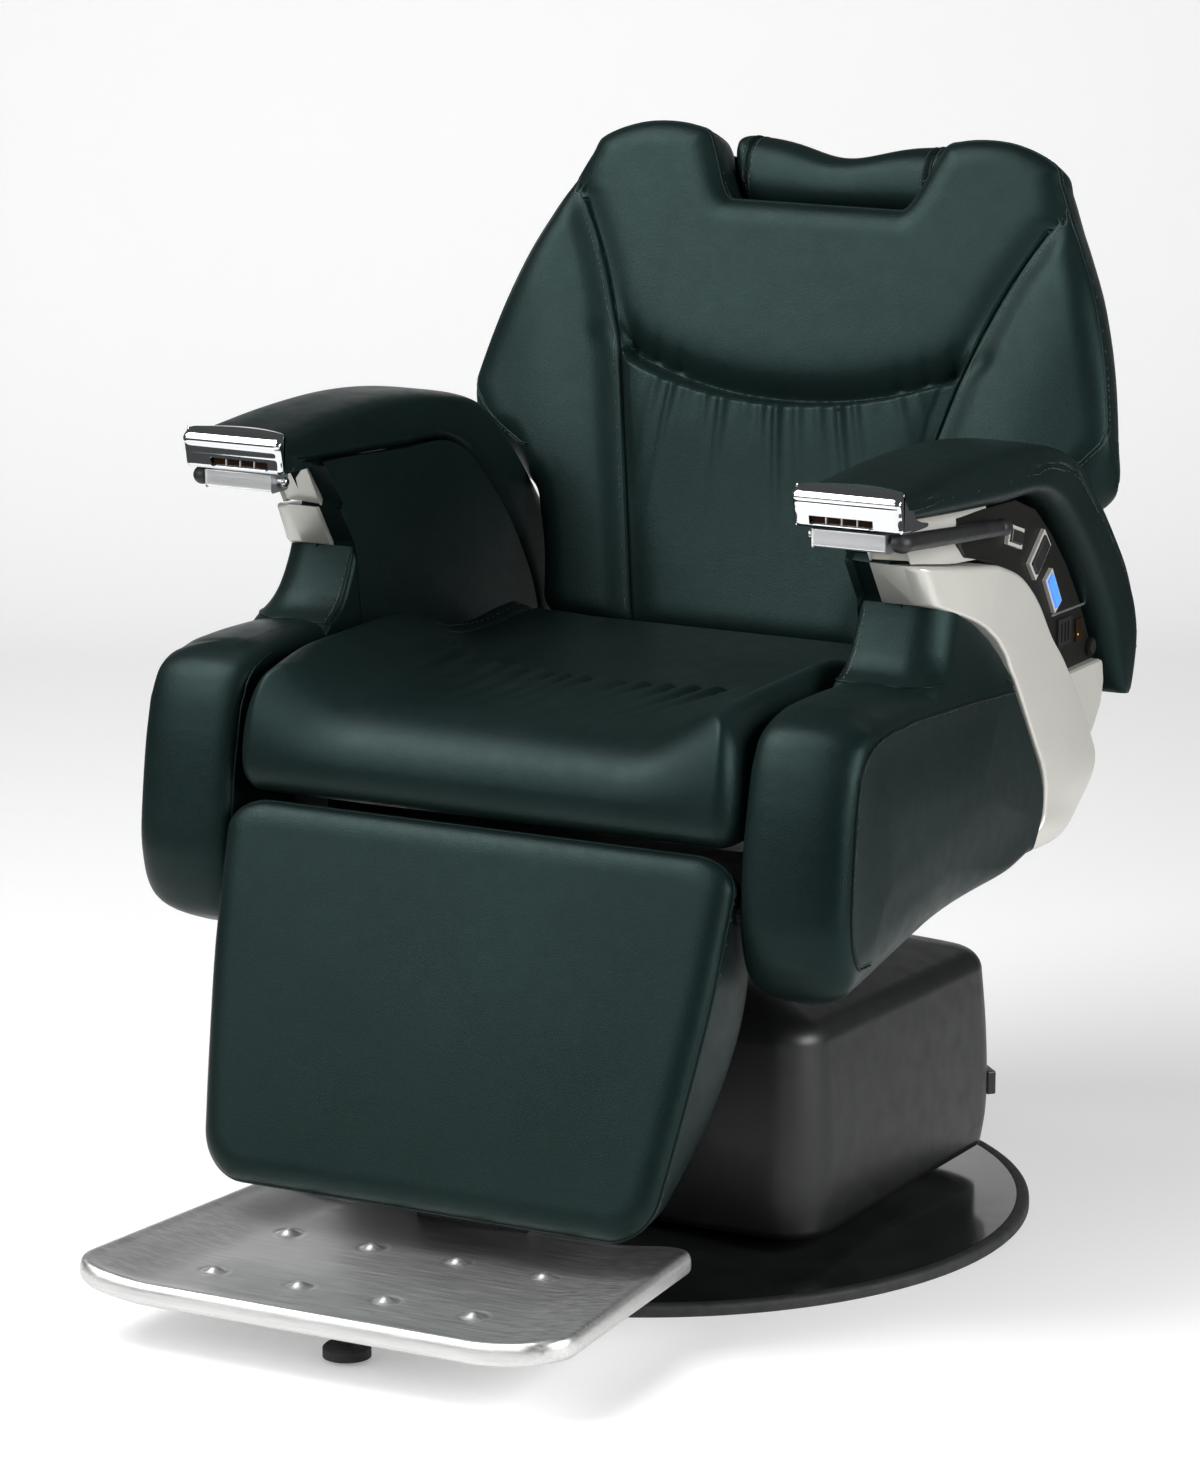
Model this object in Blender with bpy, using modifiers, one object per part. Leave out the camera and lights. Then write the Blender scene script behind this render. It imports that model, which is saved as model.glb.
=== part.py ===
"""Electric barber chair, built as separate pieces that hang on their joint axes.

Metres, +Z up. The chair faces -Y, +X is the sitter's left, and the origin is on the floor
under the middle of the swivel.
"""

import math

import bmesh
import bpy
from mathutils import Matrix, Vector

for old_object in list(bpy.data.objects):
    bpy.data.objects.remove(old_object, do_unlink=True)

# Clearances
GAP = 0.0003
RUN_GAP = 0.0005
SOFT_GAP = 0.0015
PAD_GAP = 0.0035

# Floor plate and swivel
BASE_RADIUS = 0.350
EDGE_TRIM_WIDTH = 0.0115
EDGE_TRIM_HEIGHT = 0.0105
PLATE_RIM = 0.010
PLATE_CROWN = 0.028
PLATE_BOSS_RADIUS = 0.100
SPINDLE_RADIUS = 0.030
SPINDLE_FLANGE_RADIUS = 0.075
SPINDLE_FLANGE = 0.008
BEARING_HEIGHT = 0.0075
TURNTABLE_THICKNESS = 0.012

# Base cover
COVER_HALF_WIDTH = 0.250
COVER_FRONT = -0.160
COVER_REAR = 0.234
COVER_BOTTOM = 0.034
COVER_MIDDLE = 0.088
COVER_SIDE_TOP = 0.212
COVER_BARREL = 0.005
COVER_TOP = 0.246
COVER_CORNER = 0.050
COVER_WALL = 0.004
INLET_WIDTH = 0.026
INLET_HEIGHT = 0.022
INLET_DEPTH = 0.009
INLET_ANGLE = math.radians(45)

# Lift
CYLINDER_RADIUS = 0.055
CYLINDER_TOP = 0.300
CYLINDER_FLOOR = 0.008
RAM_RADIUS = 0.034
PUMP_SIZE = (0.110, 0.060, 0.070)
MOTOR_RADIUS = 0.028
MOTOR_LENGTH = 0.090
TANK_SIZE = (0.180, 0.050, 0.110)
PUMP_Y = 0.125
TANK_Y = -0.105

# Seat frame
FRAME_BOTTOM = 0.330
FRAME_PLATE = 0.012
FRAME_PLATE_FRONT = -0.120
FRAME_PLATE_REAR = 0.140
RAIL_WIDTH = 0.039
RAIL_HEIGHT = 0.060
RAIL_FRONT = -0.200
RAIL_REAR = 0.262
CROSS_TUBE = 0.040
CROSS_INSET = 0.030
WELD_OVERLAP = 0.010

# Seat
SEAT_GAP_HALF = 0.250
PAN_FRONT = -0.125
PAN_REAR = 0.150
PAN_THICKNESS = 0.034
SEAT_FRONT = -0.302
SEAT_REAR = 0.176
SEAT_HALF_WIDTH = 0.2465
SEAT_SKIRT = 0.411
SEAT_TOP = 0.500
SEAT_CREST = 0.017
SEAT_SIDE_RISE = 0.013
SEAT_FOLD_Y = -0.095

# Recline hinge and back
RECLINE_Y = 0.235
RECLINE_Z = 0.440
RECLINE = math.radians(20)
SHAFT_RADIUS = 0.010
SHAFT_HALF_LENGTH = 0.2085
BEARING_EYE = 0.022
BEARING_WIDTH = 0.020
BACK_FACE = 0.058
BACK_CROWN = 0.008
BACK_RIM = 0.033
BACK_UNDER = -0.015
BACK_LAYER = 0.024
BACK_SHELL = 0.024
BACK_EDGE = 0.008
BACK_BOTTOM = 0.026
BACK_SIDE_TOP = 0.474
BACK_NOTCH = 0.424
BACK_LOBE = 0.510
NOTCH_HALF_WIDTH = 0.1140
BOARD_HALF_WIDTH = 0.168
BOARD_TOP = 0.248
HINGE_ARM_WIDTH = 0.009
HINGE_ARM_TOP = 0.180

# Headrest
POST_RADIUS = 0.006
POST_SPREAD = 0.050
POST_BOTTOM = 0.262
GUIDE_HALF_WIDTH = 0.075
SLIDE_GAP = 0.009
BRACKET_HEIGHT = 0.028
PILLOW_CLEARANCE = 0.016
PILLOW_SEAT = 0.002
PILLOW_HALF_WIDTH = 0.104
PILLOW_HALF_HEIGHT = 0.036
PILLOW_N = -0.012
PILLOW_HALF_DEPTH = 0.034
PILLOW_DIP = 0.014

# Legrest and footplate
LEG_AXIS_Y = -0.283
LEG_AXIS_Z = 0.361
LEG_TOP_Y = -0.311
LEG_TOP_Z = 0.402
LEG_SLANT = math.radians(18.6)
LEG_LENGTH = 0.320
LEG_HALF_WIDTH = 0.250
LEG_TAPER = 0.024
LEG_PAD = 0.058
LEG_CROWN = 0.006
LEG_EDGE = 0.004
LEG_REAR = 0.045
LEG_PIN_RADIUS = 0.006
LEG_EAR_RADIUS = 0.0115
LEG_EAR_WIDTH = 0.0045
LEG_PLATE_WIDTH = 0.006
FOOT_BRACKET = 0.085
FOOT_HALF_WIDTH = 0.236
FOOT_REAR_HALF_WIDTH = 0.212
FOOT_FRONT = -0.580
FOOT_REAR = -0.302
FOOT_TOP = 0.060
FOOT_THICKNESS = 0.030
FOOT_CORNER = 0.042
FOOT_REAR_CORNER = 0.020
FOOT_DISH = 0.78
FOOT_LIP = 0.006
BUMP_RADIUS = 0.0105
BUMP_HEIGHT = 0.003
BUMP_ROWS = (-0.528, -0.4095)
BUMP_PITCH = 0.084
GLIDE_RADIUS = 0.0205
GLIDE_HEIGHT = 0.010
GLIDE_BOTTOM = 0.003
GLIDE_Y = -0.522
STUD_RADIUS = 0.005
GLIDE_TRAVEL = 0.008

# Arms: outlines are (y, z) points in side view
ARM_INNER = 0.2503
CORE_OUTER = 0.2947
PANEL_FACE = 0.328
REAR_COVER_FACE = 0.338
SIDE_FACE = 0.348
PAD_OUTER_FACE = 0.351
PAD_UNDERSIDE = (
    (-0.170, 0.6790), (-0.097, 0.6745), (0.003, 0.6685), (0.075, 0.6655), (0.118, 0.6500),
    (0.150, 0.6250), (0.185, 0.5900), (0.215, 0.5520), (0.243, 0.5050), (0.259, 0.4550),
)
PAD_TOP = (
    (-0.170, 0.7120), (-0.090, 0.7165), (0.005, 0.7170), (0.092, 0.7080), (0.158, 0.6900),
    (0.205, 0.6530), (0.250, 0.6060), (0.286, 0.5600), (0.303, 0.5120), (0.294, 0.4520),
)
BAND_OUTER = (
    (-0.150, 0.6380), (-0.085, 0.6290), (0.0163, 0.6147), (0.0517, 0.5973), (0.0883, 0.5659),
    (0.1460, 0.5027), (0.1990, 0.4330), (0.2110, 0.4020), (0.1860, 0.3740), (0.1240, 0.3520),
)
BAND_INNER = (
    (-0.122, 0.6000), (-0.080, 0.5900), (-0.0402, 0.5790), (-0.0053, 0.5579), (0.0150, 0.5350),
    (0.0400, 0.5030), (0.0750, 0.4500), (0.0990, 0.4142), (0.1040, 0.3820), (0.0820, 0.3560),
)
BAND_FACE = (0.2985, 0.314, 0.343, 0.346, 0.347, 0.348, 0.348, 0.347, 0.343, 0.335)
NECK_FRONT = -0.103
NECK_TOP = 0.588
CORE_ELBOW = (-0.140, 0.6450)
PANEL_NOSE = ((-0.032, 0.6280), (-0.044, 0.6430))
PANEL_TIP = -0.050
INNER_PLATE_FRONT = (-0.140, 0.6420)
INNER_PLATE_TOP = (0.6720, 0.6680)
INNER_PLATE_REAR = ((-0.054, 0.6420), (-0.044, 0.6270))
REAR_COVER_FOOT = ((0.220, 0.4240), (0.243, 0.4520))
REAR_COVER_HEEL = 0.472
NECK_FLARE = 0.336
SIDE_FRONT = -0.303
SIDE_FRONT_TOP = -0.272
SIDE_BOTTOM_FRONT = 0.278
SIDE_BOTTOM_REAR = 0.338
SIDE_TOP_FRONT = 0.508
SIDE_TOP_MIDDLE = 0.5165
SIDE_TOP_REAR = 0.500
SIDE_FRONT_RUN = ((-0.302, 0.4000), (-0.295, 0.4650))
SIDE_BOTTOM_RUN = ((-0.150, 0.2990), (-0.050, 0.3190))
SIDE_TOP_RUN = (-0.190, -0.070)
SIDE_TOP_WAIST = 0.511
SIDE_BOXING = 0.014
CAP_FRONT = -0.208
CAP_UNDERCUT = 0.007
CAP_BOTTOM = 0.678
CAP_TOP = 0.7165
CAP_SLOT_DEPTH = 0.024
CAP_SLOT_HEIGHT = 0.009
CAP_SLOT_INSET = 0.013
INSERT_THICKNESS = 0.0016
INSERT_RIBS = 4
INSERT_RIB_WIDTH = 0.0016
BLOCK_INNER = 0.2655
BLOCK_OUTER = 0.334
BLOCK_HEIGHT = 0.0195
BLOCK_FRONT = -0.2005
BLOCK_REAR = -0.172
INNER_PLATE = 0.003
LEVER_Y = -0.1875
LEVER_RADIUS = 0.0070
LEVER_SHAFT_RADIUS = 0.0040
LEVER_BALL_RADIUS = 0.0052
LEVER_BEND = 0.0095
LEVER_END_Y = 0.018
LEVER_END_Z = 0.6455

# Switches on the sitter's left panel
BEZEL_HEIGHT = 0.004
BEZEL_RIM = 0.003
SWITCH_PROUD = 0.002
SWITCH_THICKNESS = 0.0042
ROCKERS = {
    "seat_switch": ((0.064, 0.6310), (0.024, 0.011), math.radians(-17.6)),
    "back_switch": ((0.1155, 0.6065), (0.034, 0.015), math.radians(40)),
}
MEMORY_CENTRE = (0.1455, 0.5690)
MEMORY_SIZE = (0.032, 0.010)
MEMORY_ANGLE = math.radians(-57)
GRILLE_CENTRE = (0.1760, 0.5265)
GRILLE_SIZE = (0.028, 0.025)
GRILLE_SLOTS = 3
WINDOW_CENTRE = (0.2080, 0.5230)
WINDOW_SIZE = (0.016, 0.020)
KEY_CENTRE = (0.2320, 0.5030)
KEY_RADIUS = 0.0062
KEY_PROUD = 0.0025

chair = bpy.data.collections.new("barber_chair")
cutters = bpy.data.collections.new("cutters")
for collection in (chair, cutters):
    bpy.context.scene.collection.children.link(collection)


def finish(name, colour, roughness, metallic=0.0):
    """A Principled material."""
    made = bpy.data.materials.new(name)
    made.use_nodes = True
    shader = made.node_tree.nodes["Principled BSDF"]
    shader.inputs["Base Color"].default_value = (*colour, 1.0)
    shader.inputs["Roughness"].default_value = roughness
    shader.inputs["Metallic"].default_value = metallic
    return made


LEATHER = finish("black_leather", (0.012, 0.019, 0.019), 0.42)
SHELL_VINYL = finish("back_vinyl", (0.010, 0.014, 0.014), 0.50)
SILVER = finish("champagne_silver", (0.60, 0.60, 0.56), 0.34, 0.6)
CHROME = finish("chrome", (0.80, 0.80, 0.82), 0.06, 1.0)
ALUMINIUM = finish("brushed_aluminium", (0.56, 0.57, 0.57), 0.32, 1.0)
COVER_PLASTIC = finish("grey_plastic", (0.070, 0.078, 0.076), 0.55)
GLOSS_BLACK = finish("gloss_black", (0.010, 0.011, 0.010), 0.10)
RUBBER = finish("black_rubber", (0.020, 0.021, 0.021), 0.75)
PANEL_METAL = finish("dark_brushed_metal", (0.055, 0.055, 0.052), 0.38, 0.7)
SWITCH_PLASTIC = finish("black_plastic", (0.012, 0.012, 0.013), 0.45)
STEEL = finish("painted_steel", (0.050, 0.050, 0.052), 0.45, 0.5)
BRIGHT_STEEL = finish("bright_steel", (0.55, 0.55, 0.56), 0.22, 1.0)
BUTTON_BLUE = finish("button_blue", (0.08, 0.27, 0.80), 0.30)
WINDOW_BROWN = finish("smoked_window", (0.020, 0.008, 0.003), 0.12)


def axis_empty(name, place, parent=None):
    """An empty on a joint's axis, which carries the pieces that turn or slide there."""
    empty = bpy.data.objects.new(name, None)
    empty.location = Vector(place)
    chair.objects.link(empty)
    empty["world_place"] = place
    if parent is not None:
        empty.parent = parent
        empty.matrix_parent_inverse = Matrix.Translation(-Vector(parent["world_place"]))
    return empty


def hang(name, data, material, pivot):
    """An object in the chair, carried by its pivot and left where its mesh is."""
    made = bpy.data.objects.new(name, data)
    data.materials.append(material)
    chair.objects.link(made)
    made.parent = pivot
    made.matrix_parent_inverse = Matrix.Translation(-Vector(pivot["world_place"]))
    return made


def helper(name, data):
    """A cutter or a shape to weld on, which doesn't count as a piece."""
    made = bpy.data.objects.new(name, data)
    cutters.objects.link(made)
    made.hide_render = True
    made.display_type = "WIRE"
    return made


def mesh_from(name, bm):
    bmesh.ops.recalc_face_normals(bm, faces=bm.faces[:])
    if bm.calc_volume(signed=True) < 0.0:
        bmesh.ops.reverse_faces(bm, faces=bm.faces[:])
    mesh = bpy.data.meshes.new(name)
    bm.to_mesh(mesh)
    bm.free()
    mesh.shade_smooth()
    mesh.set_sharp_from_angle(angle=math.radians(40))
    return mesh


def box_mesh(name, low, high):
    bm = bmesh.new()
    bmesh.ops.create_cube(bm, size=1.0)
    low, high = Vector(low), Vector(high)
    bmesh.ops.scale(bm, vec=high - low, verts=bm.verts)
    bmesh.ops.translate(bm, vec=(low + high) / 2, verts=bm.verts)
    return mesh_from(name, bm)


def rod_mesh(name, start, end, radius, sides=24):
    bm = bmesh.new()
    start, end = Vector(start), Vector(end)
    along = end - start
    turn = along.to_track_quat("Z", "Y").to_matrix().to_4x4()
    bmesh.ops.create_cone(
        bm, cap_ends=True, segments=sides, radius1=radius, radius2=radius, depth=along.length,
        matrix=Matrix.Translation((start + end) / 2) @ turn,
    )
    return mesh_from(name, bm)


def cut(target, tool, operation="DIFFERENCE"):
    boolean = target.modifiers.new(tool.name, "BOOLEAN")
    boolean.operation = operation
    boolean.solver = "EXACT"
    boolean.object = tool


def weld(target, tool):
    cut(target, tool, "UNION")


def bevel(made, width, segments=2, angle=40):
    rounding = made.modifiers.new("rounding", "BEVEL")
    rounding.width = width
    rounding.segments = segments
    rounding.limit_method = "ANGLE"
    rounding.angle_limit = math.radians(angle)
    rounding.use_clamp_overlap = True


def soften(made, levels=1):
    smooth = made.modifiers.new("soft", "SUBSURF")
    smooth.levels = levels
    smooth.render_levels = levels


def turned(name, profile, material, pivot, place=(0.0, 0.0), steps=48):
    """A profile of (radius, height) points, run down its outer side and turned about Z."""
    mesh = bpy.data.meshes.new(name)
    points = [(radius, 0.0, height) for radius, height in profile]
    closed = profile[0][0] > 0.0
    edges = [(i, i + 1) for i in range(len(points) - 1)]
    if closed:
        edges.append((len(points) - 1, 0))
    mesh.from_pydata(points, edges, [])
    made = hang(name, mesh, material, pivot)
    made.location = (*place, 0.0)
    screw = made.modifiers.new("turn", "SCREW")
    screw.axis = "Z"
    screw.angle = 2 * math.pi
    screw.steps = steps
    screw.render_steps = steps
    screw.use_merge_vertices = True
    screw.merge_threshold = 0.0001
    screw.use_normal_calculate = False
    return made


def outline_curve(name, outlines, thickness):
    """A filled 2D curve of one outline and its holes, extruded to a thickness about its plane."""
    curve = bpy.data.curves.new(name, "CURVE")
    curve.dimensions = "2D"
    curve.fill_mode = "BOTH"
    curve.extrude = thickness / 2
    for outline in outlines:
        spline = curve.splines.new("POLY")
        spline.points.add(len(outline) - 1)
        for point, (across, up) in zip(spline.points, outline):
            point.co = (across, up, 0.0, 1.0)
        spline.use_cyclic_u = True
    return curve


SIDE_VIEW = Matrix(((0, 0, 1, 0), (1, 0, 0, 0), (0, 1, 0, 0), (0, 0, 0, 1)))


def curve_to_mesh(name, curve, matrix):
    """The curve's solid as a welded mesh, placed by the matrix."""
    carrier = bpy.data.objects.new(name, curve)
    chair.objects.link(carrier)
    graph = bpy.context.evaluated_depsgraph_get()
    mesh = bpy.data.meshes.new_from_object(carrier.evaluated_get(graph))
    bpy.data.objects.remove(carrier, do_unlink=True)
    bm = bmesh.new()
    bm.from_mesh(mesh)
    bmesh.ops.remove_doubles(bm, verts=bm.verts, dist=0.00001)
    bmesh.ops.transform(bm, matrix=matrix, verts=bm.verts)
    bpy.data.meshes.remove(mesh)
    return mesh_from(name, bm)


def side_plate_mesh(name, outlines, x_low, x_high):
    """Outlines of (y, z) points made a plate between two x planes."""
    curve = outline_curve(name, outlines, x_high - x_low)
    middle = Matrix.Translation(((x_low + x_high) / 2, 0.0, 0.0))
    return curve_to_mesh(name, curve, middle @ SIDE_VIEW)


def circle(centre, radius, sides=24):
    turn = 2 * math.pi / sides
    return [
        (centre[0] + radius * math.cos(i * turn), centre[1] + radius * math.sin(i * turn))
        for i in range(sides)
    ]


def arc(centre, radius, first, last, steps=8):
    """Points on an arc between two angles in degrees."""
    angles = [math.radians(first + (last - first) * i / steps) for i in range(steps + 1)]
    return [(centre[0] + radius * math.cos(a), centre[1] + radius * math.sin(a)) for a in angles]


def rounded_rectangle(left, right, bottom, top, radius, steps=6):
    corners = ((right, top, 0), (left, top, 90), (left, bottom, 180), (right, bottom, 270))
    points = []
    for x, y, first in corners:
        centre = (
            x - radius if x == right else x + radius,
            y - radius if y == top else y + radius,
        )
        points += arc(centre, radius, first, first + 90, steps)
    return points


def spline_points(points, steps):
    """A smooth run through the points, with this many steps between neighbours."""
    found = []
    last = len(points) - 1
    for i in range(last):
        p0, p1 = Vector(points[max(i - 1, 0)]), Vector(points[i])
        p2, p3 = Vector(points[i + 1]), Vector(points[min(i + 2, last)])
        for k in range(steps):
            t = k / steps
            found.append(
                0.5 * (2 * p1 + (p2 - p0) * t + (2 * p0 - 5 * p1 + 4 * p2 - p3) * t**2
                       + (3 * p1 - p0 - 3 * p2 + p3) * t**3)
            )
    found.append(Vector(points[last]))
    return found


def read_run(points, position):
    """The point at a position from 0 to 1 along a run of points, by count."""
    place = min(max(position, 0.0), 1.0) * (len(points) - 1)
    i = min(int(place), len(points) - 2)
    return Vector(points[i]).lerp(Vector(points[i + 1]), place - i)


def value_at(points, key):
    """Linear reading of (key, value) pairs in rising order."""
    if key <= points[0][0]:
        return points[0][1]
    for (k0, v0), (k1, v1) in zip(points, points[1:]):
        if key <= k1:
            return v0 + (v1 - v0) * (key - k0) / (k1 - k0)
    return points[-1][1]


def smoothstep(low, high, value):
    t = min(max((value - low) / (high - low), 0.0), 1.0)
    return t * t * (3 - 2 * t)


def softened(points):
    """The run that one level of Subdivision makes of these points."""
    found = [Vector(points[0])]
    for before, here, after in zip(points, points[1:], points[2:]):
        found.append((Vector(before) + Vector(here)) / 2)
        found.append(Vector(before) / 8 + Vector(here) * 0.75 + Vector(after) / 8)
    return [*found, (Vector(points[-2]) + Vector(points[-1])) / 2]


def shifted(points, across=0.0, up=0.0):
    return [(y + across, z + up) for y, z in points]


def flipped(mesh, sign):
    """The mesh itself, or its mirror image across the chair's middle plane."""
    if sign < 0:
        mesh.transform(Matrix.Scale(-1, 4, (1, 0, 0)))
        mesh.flip_normals()
    return mesh


def loft_mesh(name, rings):
    """Closed rings of equal count joined in order, with both ends filled."""
    bm = bmesh.new()
    rows = [[bm.verts.new(point) for point in ring] for ring in rings]
    for lower, upper in zip(rows, rows[1:]):
        for i in range(len(lower)):
            j = (i + 1) % len(lower)
            bm.faces.new((lower[i], lower[j], upper[j], upper[i]))
    bm.faces.new(rows[0])
    bm.faces.new(rows[-1])
    return mesh_from(name, bm)


def pad_mesh(name, columns, rows, face, under):
    """A cushion cage: a grid for its face and one for its underside, closed round the rim.

    face and under place a grid point (column, row) and are told whether it is on the rim.
    """
    bm = bmesh.new()
    wide, deep = len(columns) - 1, len(rows) - 1
    bmesh.ops.create_grid(bm, x_segments=wide, y_segments=deep, size=0.5)
    copied = bmesh.ops.extrude_face_region(bm, geom=bm.faces[:], use_keep_orig=True)
    faced = {part for part in copied["geom"] if isinstance(part, bmesh.types.BMVert)}
    for vert in bm.verts:
        i = round((vert.co.x + 0.5) * wide)
        j = round((vert.co.y + 0.5) * deep)
        rim = i in (0, wide) or j in (0, deep)
        place = face if vert in faced else under
        vert.co = place(columns[i], rows[j], rim)
    return mesh_from(name, bm)


def mirrored_columns(half):
    """Columns from -1 to 1 out of the positive ones, with 0 in the middle."""
    return [-value for value in reversed(half)] + [0.0] + list(half)


# Joint axes
floor = axis_empty("floor_axis", (0.0, 0.0, 0.0))
swivel = axis_empty("swivel_axis", (0.0, 0.0, PLATE_CROWN), floor)
lift = axis_empty("lift_axis", (0.0, 0.0, CYLINDER_TOP), swivel)
recline = axis_empty("recline_axis", (0.0, RECLINE_Y, RECLINE_Z), lift)
legrest = axis_empty("legrest_axis", (0.0, LEG_AXIS_Y, LEG_AXIS_Z), lift)
glide = axis_empty("glide_axis", (0.0, GLIDE_Y, GLIDE_BOTTOM), legrest)

# Heights that follow from the stack
FLANGE_BOTTOM = PLATE_CROWN + GAP
BEARING_BOTTOM = FLANGE_BOTTOM + SPINDLE_FLANGE + GAP
TURNTABLE_BOTTOM = BEARING_BOTTOM + BEARING_HEIGHT + GAP
TURNTABLE_TOP = TURNTABLE_BOTTOM + TURNTABLE_THICKNESS
DECK = TURNTABLE_TOP + GAP
RAIL_OUTER = SEAT_GAP_HALF - GAP
RAIL_INNER = RAIL_OUTER - RAIL_WIDTH
RAIL_TOP = FRAME_BOTTOM + RAIL_HEIGHT
PAN_BOTTOM = RAIL_TOP + GAP
PAN_TOP = PAN_BOTTOM + PAN_THICKNESS
SEAT_BOTTOM = PAN_TOP + GAP
BLOCK_TOP = CAP_BOTTOM - GAP
LEVER_Z = BLOCK_TOP - BLOCK_HEIGHT / 2
LEVER_HUB = BLOCK_OUTER + RUN_GAP
LEVER_X = LEVER_HUB + LEVER_BEND + RUN_GAP
NECK_BOTTOM = SIDE_TOP_MIDDLE + SOFT_GAP
PILLOW_U = BACK_NOTCH + PILLOW_CLEARANCE + PILLOW_HALF_HEIGHT
BRACKET_TOP = PILLOW_U - PILLOW_HALF_HEIGHT + PILLOW_SEAT
BRACKET_BOTTOM = BRACKET_TOP - BRACKET_HEIGHT
GUIDE_TOP = BRACKET_BOTTOM - SLIDE_GAP


def back_point(x, u, n):
    """A point of the back: u up along it from its hinge, n forward out of it."""
    return Vector((
        x,
        RECLINE_Y + u * math.sin(RECLINE) - n * math.cos(RECLINE),
        RECLINE_Z + u * math.cos(RECLINE) + n * math.sin(RECLINE),
    ))


def leg_point(x, d, n):
    """A point of the legrest: d down along its face from the top edge, n forward out of it."""
    return Vector((
        x,
        LEG_TOP_Y - d * math.sin(LEG_SLANT) - n * math.cos(LEG_SLANT),
        LEG_TOP_Z - d * math.cos(LEG_SLANT) + n * math.sin(LEG_SLANT),
    ))


def build_floor():
    plate_radius = BASE_RADIUS - EDGE_TRIM_WIDTH
    dome = [
        (
            PLATE_BOSS_RADIUS + (plate_radius - PLATE_BOSS_RADIUS) * t,
            PLATE_RIM + (PLATE_CROWN - PLATE_RIM) * math.cos(t * math.pi / 2) ** 1.3,
        )
        for t in (0.0, 0.2, 0.4, 0.6, 0.8, 1.0)
    ]
    turned("base_plate", [(0.0, PLATE_CROWN), *dome, (plate_radius, 0.0), (0.0, 0.0)],
           GLOSS_BLACK, floor, steps=48)
    inner = plate_radius + GAP
    lip = EDGE_TRIM_HEIGHT / 3
    turned(
        "base_edge_trim",
        [(inner, EDGE_TRIM_HEIGHT), (BASE_RADIUS - lip, EDGE_TRIM_HEIGHT),
         (BASE_RADIUS, EDGE_TRIM_HEIGHT - lip), (BASE_RADIUS, 0.0), (inner, 0.0)],
        RUBBER, floor, steps=48,
    )
    flange_top = FLANGE_BOTTOM + SPINDLE_FLANGE
    turned(
        "swivel_spindle",
        [(0.0, TURNTABLE_TOP - GAP), (SPINDLE_RADIUS, TURNTABLE_TOP - GAP),
         (SPINDLE_RADIUS, flange_top), (SPINDLE_FLANGE_RADIUS, flange_top),
         (SPINDLE_FLANGE_RADIUS, FLANGE_BOTTOM), (0.0, FLANGE_BOTTOM)],
        BRIGHT_STEEL, floor, steps=32,
    )
    bore = SPINDLE_RADIUS + RUN_GAP
    top = BEARING_BOTTOM + BEARING_HEIGHT
    turned(
        "swivel_bearing",
        [(bore, top), (SPINDLE_FLANGE_RADIUS, top),
         (SPINDLE_FLANGE_RADIUS, BEARING_BOTTOM), (bore, BEARING_BOTTOM)],
        BRIGHT_STEEL, floor, steps=32,
    )


def cover_ring(inset, height):
    outline = rounded_rectangle(
        -COVER_HALF_WIDTH + inset, COVER_HALF_WIDTH - inset, COVER_FRONT + inset, COVER_REAR - inset,
        max(COVER_CORNER - inset, COVER_WALL), steps=5,
    )
    return [Vector((x, y, height)) for x, y in outline]


def build_cover():
    """The cover is an open box with a crowned top, thickened inwards, with a hole for the lift."""
    rise = COVER_TOP - COVER_SIDE_TOP
    rings = [
        cover_ring(COVER_BARREL, COVER_BOTTOM), cover_ring(0.0, COVER_MIDDLE),
        cover_ring(COVER_BARREL, COVER_SIDE_TOP),
    ]
    for angle in (30, 60, 90):
        a = math.radians(angle)
        inset = COVER_BARREL + rise * (1 - math.cos(a))
        rings.append(cover_ring(inset, COVER_SIDE_TOP + rise * math.sin(a) * 0.9))
    hole = CYLINDER_RADIUS + 2 * SOFT_GAP
    turn = 360 / len(rings[0])
    rim = arc((0.0, 0.0), hole, turn / 2, 360 - turn / 2, len(rings[0]) - 1)
    rings.append([Vector((x, y, COVER_TOP)) for x, y in rim])
    bm = bmesh.new()
    rows = [[bm.verts.new(point) for point in ring] for ring in rings]
    for lower, upper in zip(rows, rows[1:]):
        for i in range(len(lower)):
            j = (i + 1) % len(lower)
            bm.faces.new((lower[i], lower[j], upper[j], upper[i]))
    made = hang("base_cover", mesh_from("base_cover", bm), COVER_PLASTIC, swivel)
    wall = made.modifiers.new("wall", "SOLIDIFY")
    wall.thickness = COVER_WALL
    wall.offset = -1.0
    wall.use_even_offset = True


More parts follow.
